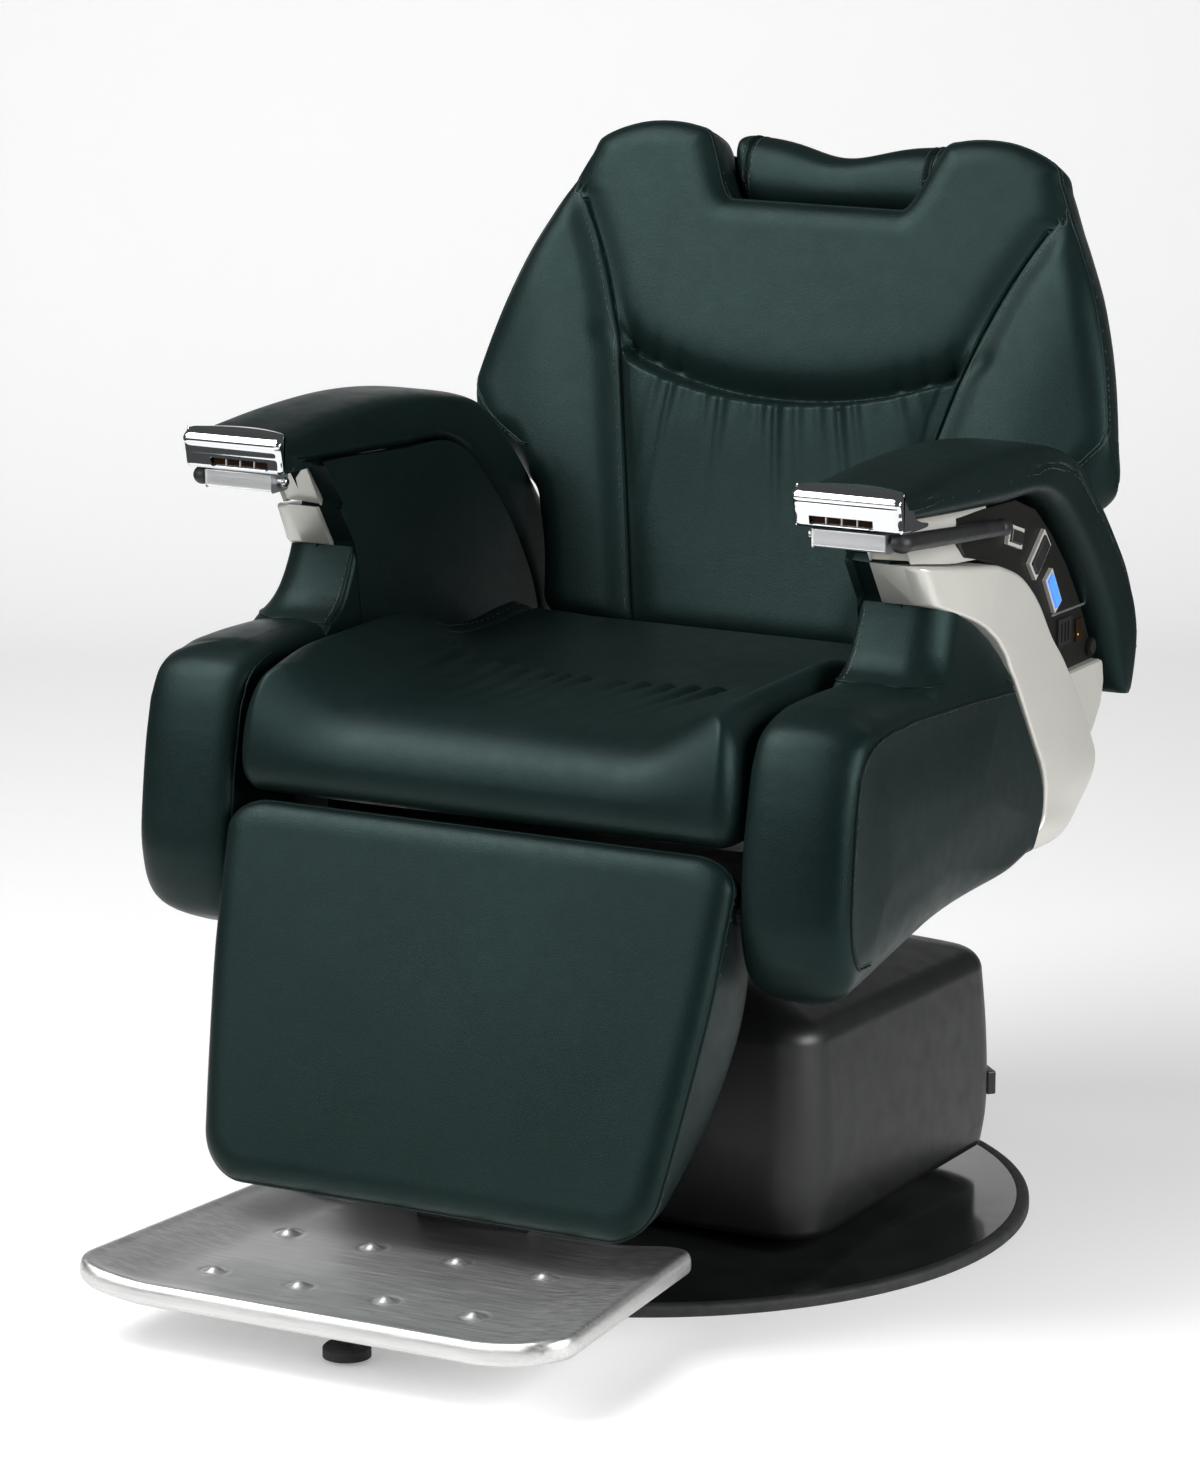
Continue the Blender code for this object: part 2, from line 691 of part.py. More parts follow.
def build_turret():
    barrel = COVER_BARREL * (COVER_MIDDLE - TURNTABLE_BOTTOM) / (COVER_MIDDLE - COVER_BOTTOM)
    inside = barrel + COVER_WALL + RUN_GAP
    deck = rounded_rectangle(
        -COVER_HALF_WIDTH + inside, COVER_HALF_WIDTH - inside, COVER_FRONT + inside,
        COVER_REAR - inside, COVER_CORNER - inside, steps=5,
    )
    curve = outline_curve(
        "turntable", [deck, circle((0.0, 0.0), SPINDLE_RADIUS + RUN_GAP, 32)], TURNTABLE_THICKNESS
    )
    middle = Matrix.Translation((0.0, 0.0, (TURNTABLE_BOTTOM + TURNTABLE_TOP) / 2))
    hang("turntable", curve_to_mesh("turntable", curve, middle), STEEL, swivel)
    bore = RAM_RADIUS + RUN_GAP
    floor_top = DECK + CYLINDER_FLOOR
    turned(
        "lift_cylinder",
        [(0.0, floor_top), (bore, floor_top), (bore, CYLINDER_TOP), (CYLINDER_RADIUS, CYLINDER_TOP),
         (CYLINDER_RADIUS, DECK), (0.0, DECK)],
        STEEL, swivel, steps=32,
    )
    width, depth, height = PUMP_SIZE
    pump = hang(
        "pump_unit",
        box_mesh("pump_unit", (-width / 2, PUMP_Y - depth / 2, DECK),
                 (width / 2, PUMP_Y + depth / 2, DECK + height)),
        STEEL, swivel,
    )
    motor_z = DECK + height / 2
    motor = rod_mesh("pump_motor", (width / 2 - WELD_OVERLAP, PUMP_Y, motor_z),
                     (width / 2 + MOTOR_LENGTH, PUMP_Y, motor_z), MOTOR_RADIUS)
    weld(pump, helper("pump_motor_shape", motor))
    width, depth, height = TANK_SIZE
    tank = hang(
        "oil_tank",
        box_mesh("oil_tank", (-width / 2, TANK_Y - depth / 2, DECK),
                 (width / 2, TANK_Y + depth / 2, DECK + height)),
        STEEL, swivel,
    )
    bevel(tank, 0.006)
    # The inlet sits on the rounded rear corner on the sitter's left.
    out = Vector((math.cos(INLET_ANGLE), math.sin(INLET_ANGLE), 0.0))
    corner = Vector((COVER_HALF_WIDTH - COVER_CORNER, COVER_REAR - COVER_CORNER, COVER_MIDDLE))
    mesh = box_mesh("power_inlet", (GAP, -INLET_WIDTH / 2, -INLET_HEIGHT / 2),
                    (INLET_DEPTH, INLET_WIDTH / 2, INLET_HEIGHT / 2))
    turn = Matrix.Rotation(INLET_ANGLE, 4, "Z")
    mesh.transform(Matrix.Translation(corner + out * COVER_CORNER) @ turn)
    bevel(hang("power_inlet", mesh, SWITCH_PLASTIC, swivel), 0.0015)


def build_seat_frame():
    """One welded frame: plate, rails, cross tubes, recline bearings, legrest plates and pins."""
    frame_top = FRAME_BOTTOM + FRAME_PLATE
    reach = RAIL_INNER + WELD_OVERLAP
    frame = hang(
        "seat_frame",
        box_mesh("seat_frame", (-reach, FRAME_PLATE_FRONT, FRAME_BOTTOM),
                 (reach, FRAME_PLATE_REAR, frame_top)),
        STEEL, lift,
    )
    for place, y in (("front", RAIL_FRONT + CROSS_INSET), ("rear", RAIL_REAR - 2 * CROSS_INSET)):
        tube = box_mesh(
            place, (-reach, y - CROSS_TUBE / 2, FRAME_BOTTOM + FRAME_PLATE / 2),
            (reach, y + CROSS_TUBE / 2, FRAME_BOTTOM + FRAME_PLATE / 2 + CROSS_TUBE),
        )
        weld(frame, helper(place + "_cross_tube", tube))
    eye = (RECLINE_Y, RECLINE_Z)
    ear = arc(eye, BEARING_EYE, 0, 180)
    bearing = [
        *ear, (RECLINE_Y - BEARING_EYE, FRAME_BOTTOM + FRAME_PLATE),
        (RECLINE_Y + BEARING_EYE, FRAME_BOTTOM + FRAME_PLATE),
    ]
    pivot = (LEG_AXIS_Y, LEG_AXIS_Z)
    plate = [
        *arc(pivot, LEG_EAR_RADIUS, 90, 270),
        (RAIL_FRONT + WELD_OVERLAP, LEG_AXIS_Z - LEG_EAR_RADIUS),
        (RAIL_FRONT + WELD_OVERLAP, RAIL_TOP - GAP),
    ]
    plate_inner = RAIL_OUTER - LEG_PLATE_WIDTH
    pin_inner = plate_inner - GAP - LEG_EAR_WIDTH - GAP
    for side, sign in (("left", 1), ("right", -1)):
        rail = box_mesh("rail", (RAIL_INNER, RAIL_FRONT, FRAME_BOTTOM),
                        (RAIL_OUTER, RAIL_REAR, RAIL_TOP))
        weld(frame, helper("rail_" + side, flipped(rail, sign)))
        block = side_plate_mesh("bearing", [bearing], RAIL_INNER - BEARING_WIDTH,
                                RAIL_INNER + WELD_OVERLAP)
        weld(frame, helper("recline_bearing_" + side, flipped(block, sign)))
        hinge = side_plate_mesh("hinge", [plate], plate_inner, RAIL_OUTER)
        weld(frame, helper("legrest_plate_" + side, flipped(hinge, sign)))
        pin = rod_mesh("pin", (pin_inner, *pivot), (plate_inner + LEG_PLATE_WIDTH / 2, *pivot),
                       LEG_PIN_RADIUS, 16)
        weld(frame, helper("legrest_pin_" + side, flipped(pin, sign)))
    bore = rod_mesh("bore", (-reach, *eye), (reach, *eye), SHAFT_RADIUS + RUN_GAP)
    cut(frame, helper("shaft_bore", bore))
    ram_bottom = DECK + CYLINDER_FLOOR + RUN_GAP
    ram = rod_mesh("lift_ram", (0.0, 0.0, ram_bottom), (0.0, 0.0, FRAME_BOTTOM - GAP), RAM_RADIUS, 32)
    hang("lift_ram", ram, BRIGHT_STEEL, lift)
    pan = hang(
        "seat_pan",
        box_mesh("seat_pan", (-plate_inner + SOFT_GAP, PAN_FRONT, PAN_BOTTOM),
                 (plate_inner - SOFT_GAP, PAN_REAR, PAN_TOP)),
        STEEL, lift,
    )
    bevel(pan, 0.004, 1)


def seat_height(x, y):
    """The seat's upholstered top: a front roll, raised sides and a gathered fold across it."""
    side = abs(x) / SEAT_HALF_WIDTH
    front = (y - SEAT_FRONT) / (SEAT_REAR - SEAT_FRONT)
    height = SEAT_TOP + SEAT_SIDE_RISE * smoothstep(0.60, 0.85, side)
    height += SEAT_CREST * (1 - smoothstep(0.12, 0.42, front))
    fold = SEAT_FOLD_Y + 0.025 * side**2
    height -= 0.009 * math.exp(-((y - fold) / 0.016) ** 2)
    height -= 0.006 * math.exp(-((side - 0.66) / 0.05) ** 2) * smoothstep(0.3, 0.45, front)
    return height


def build_seat_cushion():
    middle = SEAT_BOTTOM + 0.55 * (SEAT_TOP - SEAT_BOTTOM)

    def plan(q, t):
        drawn_in = 0.004 * math.sin(math.pi * t)
        corner = 0.020 * max(abs(q) - 0.8, 0.0) / 0.2 * (1 - smoothstep(0.0, 0.12, t))
        x = q * (SEAT_HALF_WIDTH - drawn_in)
        return x, SEAT_FRONT + corner + (SEAT_REAR - SEAT_FRONT) * t

    def face(q, t, rim):
        x, y = plan(q, t)
        return Vector((x, y, middle if rim else seat_height(x, y)))

    def under(q, t, rim):
        x, y = plan(q * 0.985, 0.02 + 0.965 * t)
        floor_z = SEAT_SKIRT if t < 0.2 else SEAT_BOTTOM
        return Vector((x, y, floor_z + (0.004 if rim else 0.0)))

    columns = mirrored_columns((0.34, 0.58, 0.66, 0.76, 0.95, 1.0))
    fold = (SEAT_FOLD_Y - SEAT_FRONT) / (SEAT_REAR - SEAT_FRONT)
    rows = (0.0, 0.025, 0.14, 0.30, fold - 0.05, fold, fold + 0.05, 0.70, 0.965, 1.0)
    cushion = hang("seat_cushion", pad_mesh("seat_cushion", columns, rows, face, under), LEATHER, lift)
    soften(cushion)


def coons(front, rear, bottom, top, a, b):
    """A patch between four runs of points that share their corners."""
    straight = (
        (1 - b) * read_run(bottom, a) + b * read_run(top, a)
        + (1 - a) * read_run(front, b) + a * read_run(rear, b)
    )
    corners = (
        (1 - a) * (1 - b) * Vector(bottom[0]) + a * (1 - b) * Vector(bottom[-1])
        + (1 - a) * b * Vector(top[0]) + a * b * Vector(top[-1])
    )
    return straight - corners


def side_panel_edges():
    """The side panel's four edges; its rear one follows the trim band."""
    rear = shifted(BAND_INNER[:4:-1], -2 * SOFT_GAP)
    rear[0] = (rear[0][0] - 0.020, SIDE_BOTTOM_REAR)
    rear[-1] = (rear[-1][0], SIDE_TOP_REAR)
    bottom = [(SIDE_FRONT, SIDE_BOTTOM_FRONT), *SIDE_BOTTOM_RUN, rear[0]]
    top = [
        (SIDE_FRONT_TOP, SIDE_TOP_FRONT), (SIDE_TOP_RUN[0], SIDE_TOP_MIDDLE),
        (SIDE_TOP_RUN[1], SIDE_TOP_WAIST), rear[-1],
    ]
    front = [bottom[0], *SIDE_FRONT_RUN, top[0]]
    return [spline_points(edge, 4) for edge in (front, rear, bottom, top)]


def build_side_panel(side, sign):
    edges = side_panel_edges()

    def face(a, b, rim):
        y, z = coons(*edges, a, b)
        crown = 0.004 * math.sin(math.pi * a) * math.sin(math.pi * b)
        return Vector((sign * (SIDE_FACE - (SIDE_BOXING if rim else -crown)), y, z))

    def under(a, b, rim):
        y, z = coons(*edges, 0.012 + 0.976 * a, 0.02 + 0.96 * b)
        return Vector((sign * (ARM_INNER + (SIDE_BOXING if rim else 0.0)), y, z))

    steps = (0.0, 0.03, 0.18, 0.5, 0.82, 0.97, 1.0)
    mesh = pad_mesh("side_panel", steps, steps, face, under)
    soften(hang("side_panel_" + side, mesh, LEATHER, lift))


def core_outline():
    """The arm core: from the neck up to the pad, down inside it and back along the side panel."""
    under_pad = shifted(softened(PAD_UNDERSIDE)[1:], -RUN_GAP, -RUN_GAP)
    foot = (under_pad[-1][0] - 0.004, FRAME_BOTTOM + FRAME_PLATE)
    beside_panel = shifted(BAND_INNER[:4:-1], 2 * SOFT_GAP)
    return [
        (NECK_FRONT - 0.060, NECK_BOTTOM), (NECK_FRONT - 0.022, NECK_BOTTOM + 0.010),
        (NECK_FRONT - 0.006, NECK_BOTTOM + 0.034), (NECK_FRONT - 0.004, NECK_TOP), CORE_ELBOW,
        (under_pad[0][0] - 0.004, under_pad[0][1]), *under_pad, foot, (beside_panel[1][0], foot[1]),
        *beside_panel[1:], (beside_panel[-1][0], NECK_BOTTOM),
    ]


def build_arm_core(side, sign):
    mesh = side_plate_mesh("arm_core", [core_outline()], ARM_INNER, CORE_OUTER - GAP)
    bevel(hang("arm_core_" + side, flipped(mesh, sign), LEATHER, lift), 0.003)


def build_arm_neck(side, sign):
    """The leather that flares from the arm core out to the side panel's top."""
    rings = []
    for t in (0.0, 0.3, 0.65, 1.0):
        z = NECK_BOTTOM + (NECK_TOP - NECK_BOTTOM) * t
        outer = CORE_OUTER + 0.002 + (NECK_FLARE - CORE_OUTER - 0.002) * (1 - t) ** 1.4
        rear = value_at([(height, y) for y, height in reversed(BAND_INNER[:7])], z) - 2 * SOFT_GAP
        front = NECK_FRONT - 0.006 * t
        rings.append([
            Vector((CORE_OUTER, front, z)), Vector((outer, front + 0.006, z)),
            Vector((outer, max(rear, front + 0.012), z)), Vector((CORE_OUTER, max(rear, front + 0.012), z)),
        ])
    mesh = loft_mesh("arm_neck", rings)
    hang("arm_neck_" + side, flipped(mesh, sign), LEATHER, lift)


def build_trim_band(side, sign):
    outer = spline_points(BAND_OUTER, 2)
    inner = spline_points(BAND_INNER, 2)
    faces = [point[0] for point in spline_points([(x, 0.0) for x in BAND_FACE], 2)]
    rings = [
        [Vector((CORE_OUTER, *i)), Vector((x, *i)), Vector((x, *o)), Vector((CORE_OUTER, *o))]
        for o, i, x in zip(outer, inner, faces)
    ]
    band = hang("trim_band_" + side, flipped(loft_mesh("trim_band", rings), sign), SILVER, lift)
    bevel(band, 0.0025, 2, 50)


def panel_outline():
    """The recess between the arm pad and the trim band, which the panel fills."""
    bottom = KEY_CENTRE[1] - 2 * KEY_RADIUS
    under_pad = [point for point in shifted(PAD_UNDERSIDE, -PAD_GAP, -PAD_GAP) if point[1] > bottom]
    above_band = shifted(spline_points(BAND_OUTER, 2)[4:11], SOFT_GAP, SOFT_GAP)
    return [
        PANEL_NOSE[1], (PANEL_TIP, under_pad[2][1]), *under_pad[2:],
        (under_pad[-1][0] + 0.004, bottom), (above_band[-1][0] + 0.012, bottom),
        *reversed(above_band), PANEL_NOSE[0],
    ]


def build_panel(side, sign):
    name = "control_panel" if sign > 0 else "blank_panel"
    mesh = side_plate_mesh(name, [panel_outline()], CORE_OUTER, PANEL_FACE)
    bevel(hang(name, flipped(mesh, sign), PANEL_METAL, lift), 0.001, 1)


def build_rear_cover(side, sign):
    """The silver cover behind the band, under the panel."""
    top = KEY_CENTRE[1] - 2 * KEY_RADIUS - GAP
    behind_band = shifted(BAND_OUTER[5:7], SOFT_GAP, SOFT_GAP)
    rear_top = PAD_UNDERSIDE[-2][0] + 0.002
    outline = [
        (behind_band[0][0] + 0.010, top), *behind_band[1:], *REAR_COVER_FOOT,
        (rear_top + 0.003, REAR_COVER_HEEL), (rear_top, top),
    ]
    mesh = side_plate_mesh("arm_rear_cover", [outline], CORE_OUTER, REAR_COVER_FACE)
    bevel(hang("arm_rear_cover_" + side, flipped(mesh, sign), SILVER, lift), 0.004, 2)


def build_arm_pad(side, sign):
    rings = []
    half = (PAD_OUTER_FACE - ARM_INNER) / 2
    middle = (PAD_OUTER_FACE + ARM_INNER) / 2
    section = (
        (-0.80, 0.0), (0.80, 0.0), (1.0, 0.18), (1.0, 0.70), (0.84, 1.0),
        (0.0, 1.05), (-0.84, 1.0), (-1.0, 0.70), (-1.0, 0.18),
    )
    ends = {0: (0.97, 0.04), len(PAD_TOP) - 1: (0.85, 0.15)}
    for i, (low, high) in enumerate(zip(PAD_UNDERSIDE, PAD_TOP)):
        low, high = Vector(low), Vector(high)
        narrow, lift_in = ends.get(i, (1.0, 0.0))
        ring = []
        for across, up in section:
            up = lift_in + up * (1 - 2 * lift_in)
            y, z = low.lerp(high, up)
            ring.append(Vector((middle + half * across * narrow, y, z)))
        rings.append(ring)
    pad = hang("arm_pad_" + side, flipped(loft_mesh("arm_pad", rings), sign), LEATHER, lift)
    soften(pad)


def build_arm_cap(side, sign):
    """The chrome cap: wider at the top, with a slot low in its front and a ribbed insert in it."""
    rear = PAD_UNDERSIDE[0][0] - 2 * SOFT_GAP
    outer = PAD_OUTER_FACE + 0.001
    rings = [
        [Vector((ARM_INNER + inset, CAP_FRONT + back, z)), Vector((outer - inset, CAP_FRONT + back, z)),
         Vector((outer - inset, rear, z)), Vector((ARM_INNER + inset, rear, z))]
        for z, inset, back in (
            (CAP_BOTTOM, 0.008, CAP_UNDERCUT), (CAP_TOP - 0.018, 0.0, 0.0), (CAP_TOP, 0.006, 0.016)
        )
    ]
    cap = hang("arm_cap_" + side, flipped(loft_mesh("arm_cap", rings), sign), CHROME, lift)
    bevel(cap, 0.004, 2)
    left, right = BLOCK_INNER, BLOCK_OUTER - CAP_SLOT_INSET
    slot_low = CAP_BOTTOM + 0.003
    slot_back = CAP_FRONT + CAP_SLOT_DEPTH
    slot = box_mesh("slot", (left, CAP_FRONT - CAP_SLOT_DEPTH, slot_low),
                    (right, slot_back, slot_low + CAP_SLOT_HEIGHT))
    cut(cap, helper("cap_slot_" + side, flipped(slot, sign)))
    front = CAP_FRONT + CAP_UNDERCUT + 0.003
    floor_low = slot_low + GAP
    insert = hang(
        "cap_insert_" + side,
        flipped(box_mesh("insert", (left + GAP, front, floor_low),
                         (right - GAP, slot_back - GAP, floor_low + INSERT_THICKNESS)), sign),
        PANEL_METAL, lift,
    )
    pitch = (right - left) / (INSERT_RIBS + 1)
    for i in range(INSERT_RIBS):
        x = left + pitch * (i + 1)
        rib = box_mesh("rib", (x - INSERT_RIB_WIDTH / 2, front + GAP, floor_low + INSERT_THICKNESS / 2),
                       (x + INSERT_RIB_WIDTH / 2, slot_back - 2 * GAP, slot_low + CAP_SLOT_HEIGHT - GAP))
        weld(insert, helper(f"insert_rib_{side}_{i}", flipped(rib, sign)))


def build_lever(side, sign):
    """The silver block under the cap, and the lever whose shaft runs through it."""
    low = BLOCK_TOP - BLOCK_HEIGHT
    block = hang(
        "lever_block_" + side,
        flipped(box_mesh("block", (BLOCK_INNER, BLOCK_FRONT, low), (BLOCK_OUTER, BLOCK_REAR, BLOCK_TOP)),
                sign),
        SILVER, lift,
    )
    bore = rod_mesh("bore", (BLOCK_INNER - 0.01, LEVER_Y, LEVER_Z), (BLOCK_OUTER + 0.01, LEVER_Y, LEVER_Z),
                    LEVER_SHAFT_RADIUS + RUN_GAP, 16)
    cut(block, helper("lever_bore_" + side, flipped(bore, sign)))
    pivot = axis_empty("lever_axis_" + side, (sign * LEVER_X, LEVER_Y, LEVER_Z), lift)
    ball_end = BLOCK_INNER - RUN_GAP
    neck = LEVER_SHAFT_RADIUS / LEVER_RADIUS
    ball = LEVER_BALL_RADIUS / LEVER_RADIUS
    run = [
        (ball_end - 0.009, LEVER_Y, LEVER_Z, 0.35 * ball), (ball_end - 0.008, LEVER_Y, LEVER_Z, 0.8 * ball),
        (ball_end - 0.005, LEVER_Y, LEVER_Z, ball), (ball_end - 0.002, LEVER_Y, LEVER_Z, 0.85 * ball),
        (ball_end, LEVER_Y, LEVER_Z, neck), (LEVER_HUB, LEVER_Y, LEVER_Z, neck),
        (LEVER_HUB + GAP, LEVER_Y, LEVER_Z, 1.0),
    ]
    bend = (LEVER_X - LEVER_BEND, LEVER_Y + LEVER_BEND)
    run += [(x, y, LEVER_Z, 1.0) for x, y in arc(bend, LEVER_BEND, -90, 0, 4)]
    end_x = PANEL_FACE + LEVER_RADIUS + 0.004
    for t in (0.15, 0.35, 0.60, 0.85, 0.90, 0.91, 1.0):
        y = LEVER_Y + LEVER_BEND + (LEVER_END_Y - LEVER_Y - LEVER_BEND) * t
        z = LEVER_Z + (LEVER_END_Z - LEVER_Z) * t
        grip = 0.97 if t <= 0.90 else 1.06
        run.append((LEVER_X + (end_x - LEVER_X) * t**3, y, z, grip))
    curve = bpy.data.curves.new("lever_" + side, "CURVE")
    curve.dimensions = "3D"
    curve.bevel_depth = LEVER_RADIUS
    curve.bevel_resolution = 2
    curve.use_fill_caps = True
    spline = curve.splines.new("POLY")
    spline.points.add(len(run) - 1)
    for point, (x, y, z, radius) in zip(spline.points, run):
        point.co = (x, y, z, 1.0)
        point.radius = radius
    mesh = curve_to_mesh("lever_" + side, curve, Matrix.Identity(4))
    hang("lever_" + side, flipped(mesh, sign), SWITCH_PLASTIC, pivot)
    plate = side_plate_mesh(
        "inner_plate",
        [[INNER_PLATE_FRONT, (BLOCK_REAR + GAP, BLOCK_TOP - BLOCK_HEIGHT),
          (BLOCK_REAR + GAP, INNER_PLATE_TOP[0]), (INNER_PLATE_REAR[0][0], INNER_PLATE_TOP[1]),
          *INNER_PLATE_REAR]],
        CORE_OUTER, CORE_OUTER + INNER_PLATE,
    )
    hang("arm_inner_plate_" + side, flipped(plate, sign), SILVER, lift)


def on_panel(centre, size, angle, height_low, height_high):
    """A box on the panel's face: size along and across, turned in the panel's plane."""
    length, width = size
    mesh = box_mesh("on_panel", (height_low, -length / 2, -width / 2), (height_high, length / 2, width / 2))
    mesh.transform(Matrix.Translation((PANEL_FACE, *centre)) @ Matrix.Rotation(angle, 4, "X"))
    return mesh


def build_bezel(name, centre, size, angle):
    """A silver frame round a switch; the opening clears the switch all round."""
    outer = tuple(value + 2 * (BEZEL_RIM + RUN_GAP) for value in size)
    opening = tuple(value + 2 * RUN_GAP for value in size)
    bezel = hang(name, on_panel(centre, outer, angle, GAP, BEZEL_HEIGHT), SILVER, lift)
    hole = on_panel(centre, opening, angle, -BEZEL_HEIGHT, 2 * BEZEL_HEIGHT)
    cut(bezel, helper(name + "_opening", hole))


def build_switches():
    low = SWITCH_PROUD
    high = SWITCH_PROUD + SWITCH_THICKNESS
    for name, (centre, size, angle) in ROCKERS.items():
        build_bezel(name + "_bezel", centre, size, angle)
        pivot = axis_empty(name + "_axis", (PANEL_FACE + (low + high) / 2, *centre), lift)
        rocker = hang(name, on_panel(centre, size, angle, low, high), SWITCH_PLASTIC, pivot)
        bevel(rocker, 0.0006, 1)
    build_bezel("memory_bezel", MEMORY_CENTRE, MEMORY_SIZE, MEMORY_ANGLE)
    pivot = axis_empty("memory_axis", (PANEL_FACE + low, *MEMORY_CENTRE), lift)
    button = hang("memory_button", on_panel(MEMORY_CENTRE, MEMORY_SIZE, MEMORY_ANGLE, low, high),
                  BUTTON_BLUE, pivot)
    bevel(button, 0.0006, 1)
    grille = hang("speaker_grille", on_panel(GRILLE_CENTRE, GRILLE_SIZE, 0.0, GAP, BEZEL_HEIGHT / 2),
                  SWITCH_PLASTIC, lift)
    pitch = GRILLE_SIZE[0] / (GRILLE_SLOTS + 1)
    for i in range(GRILLE_SLOTS):
        centre = (GRILLE_CENTRE[0] + pitch * (i - (GRILLE_SLOTS - 1) / 2), GRILLE_CENTRE[1])
        slot = on_panel(centre, (pitch / 3, GRILLE_SIZE[1] * 0.7), 0.0, -BEZEL_HEIGHT, BEZEL_HEIGHT)
        cut(grille, helper(f"grille_slot_{i}", slot))
    hang("indicator_window", on_panel(WINDOW_CENTRE, WINDOW_SIZE, 0.0, GAP, BEZEL_HEIGHT / 2),
         WINDOW_BROWN, lift)
    # The round key has a boss of its own height to travel into.
    pivot = axis_empty("key_axis", (PANEL_FACE, *KEY_CENTRE), lift)
    start = PANEL_FACE + KEY_PROUD
    key = rod_mesh("round_key", (start, *KEY_CENTRE), (start + KEY_PROUD, *KEY_CENTRE), KEY_RADIUS)
    hang("round_key", key, SWITCH_PLASTIC, pivot)
    ring = side_plate_mesh(
        "round_key_bezel",
        [circle(KEY_CENTRE, KEY_RADIUS + RUN_GAP + BEZEL_RIM / 2), circle(KEY_CENTRE, KEY_RADIUS + RUN_GAP)],
        PANEL_FACE + GAP, PANEL_FACE + BEZEL_HEIGHT,
    )
    hang("round_key_bezel", ring, PANEL_METAL, lift)


BACK_HALF_WIDTHS = (
    (0.020, 0.212), (0.083, 0.222), (0.124, 0.234), (0.150, 0.246), (0.167, 0.280), (0.187, 0.322),
    (0.212, 0.336), (0.246, 0.333), (0.310, 0.318), (0.374, 0.298), (0.420, 0.279), (0.474, 0.252),
)
BACK_SEAM = (
    (0.020, 0.136), (0.076, 0.146), (0.200, 0.163), (0.288, 0.176), (0.348, 0.199),
    (0.390, 0.215), (0.426, 0.236), (0.474, 0.240),
)
SEAM_COLUMN = 0.6
FOLD_U = 0.249
FOLD_RISE = 0.039
FOLD_HALF_WIDTH = 0.176


def back_top(x):
    """The back's upper edge: two lobes beside the notch for the headrest."""
    across = abs(x)
    notch = BACK_NOTCH + (BACK_LOBE - 0.010 - BACK_NOTCH) * smoothstep(
        NOTCH_HALF_WIDTH - 0.008, NOTCH_HALF_WIDTH + 0.010, across)
    lobe = 0.010 * math.sin(math.pi * min(max((across - NOTCH_HALF_WIDTH) / 0.145, 0.0), 1.0))
    drop = (BACK_LOBE - 0.010 - BACK_SIDE_TOP) * smoothstep(0.205, 0.252, across)
    return notch + lobe - drop


def back_plan(q, t):
    """A point (x, u) of the back: columns bend along the side seams, rows along the smile fold."""
    u = BACK_BOTTOM + (BACK_SIDE_TOP - BACK_BOTTOM) * t
    half = value_at(BACK_HALF_WIDTHS, u) + BACK_EDGE
    seam = min(value_at(BACK_SEAM, u), half - 0.014)
    across = abs(q)
    if across <= SEAM_COLUMN:
        x = seam * across / SEAM_COLUMN
    else:
        x = seam + (half - seam) * (across - SEAM_COLUMN) / (1 - SEAM_COLUMN)
    u += smoothstep(0.60, 0.95, t) * (back_top(x) + BACK_EDGE - BACK_SIDE_TOP)
    near_fold = math.exp(-((t - 0.5) / 0.16) ** 2)
    u += near_fold * FOLD_RISE * min(x / FOLD_HALF_WIDTH, 1.0) ** 2
    return math.copysign(x, q), u


def back_depth(q, t):
    """How far forward the back's upholstery stands."""
    across = abs(q)
    seam = math.exp(-((across - SEAM_COLUMN) / 0.06) ** 2)
    inside = 1 - smoothstep(SEAM_COLUMN - 0.08, SEAM_COLUMN, across)
    depth = BACK_FACE + BACK_CROWN * (1 - seam)
    depth -= 0.010 * inside * math.exp(-((t - 0.5) / 0.035) ** 2)
    depth += 0.008 * inside * math.exp(-((t - 0.30) / 0.14) ** 2)
    return depth


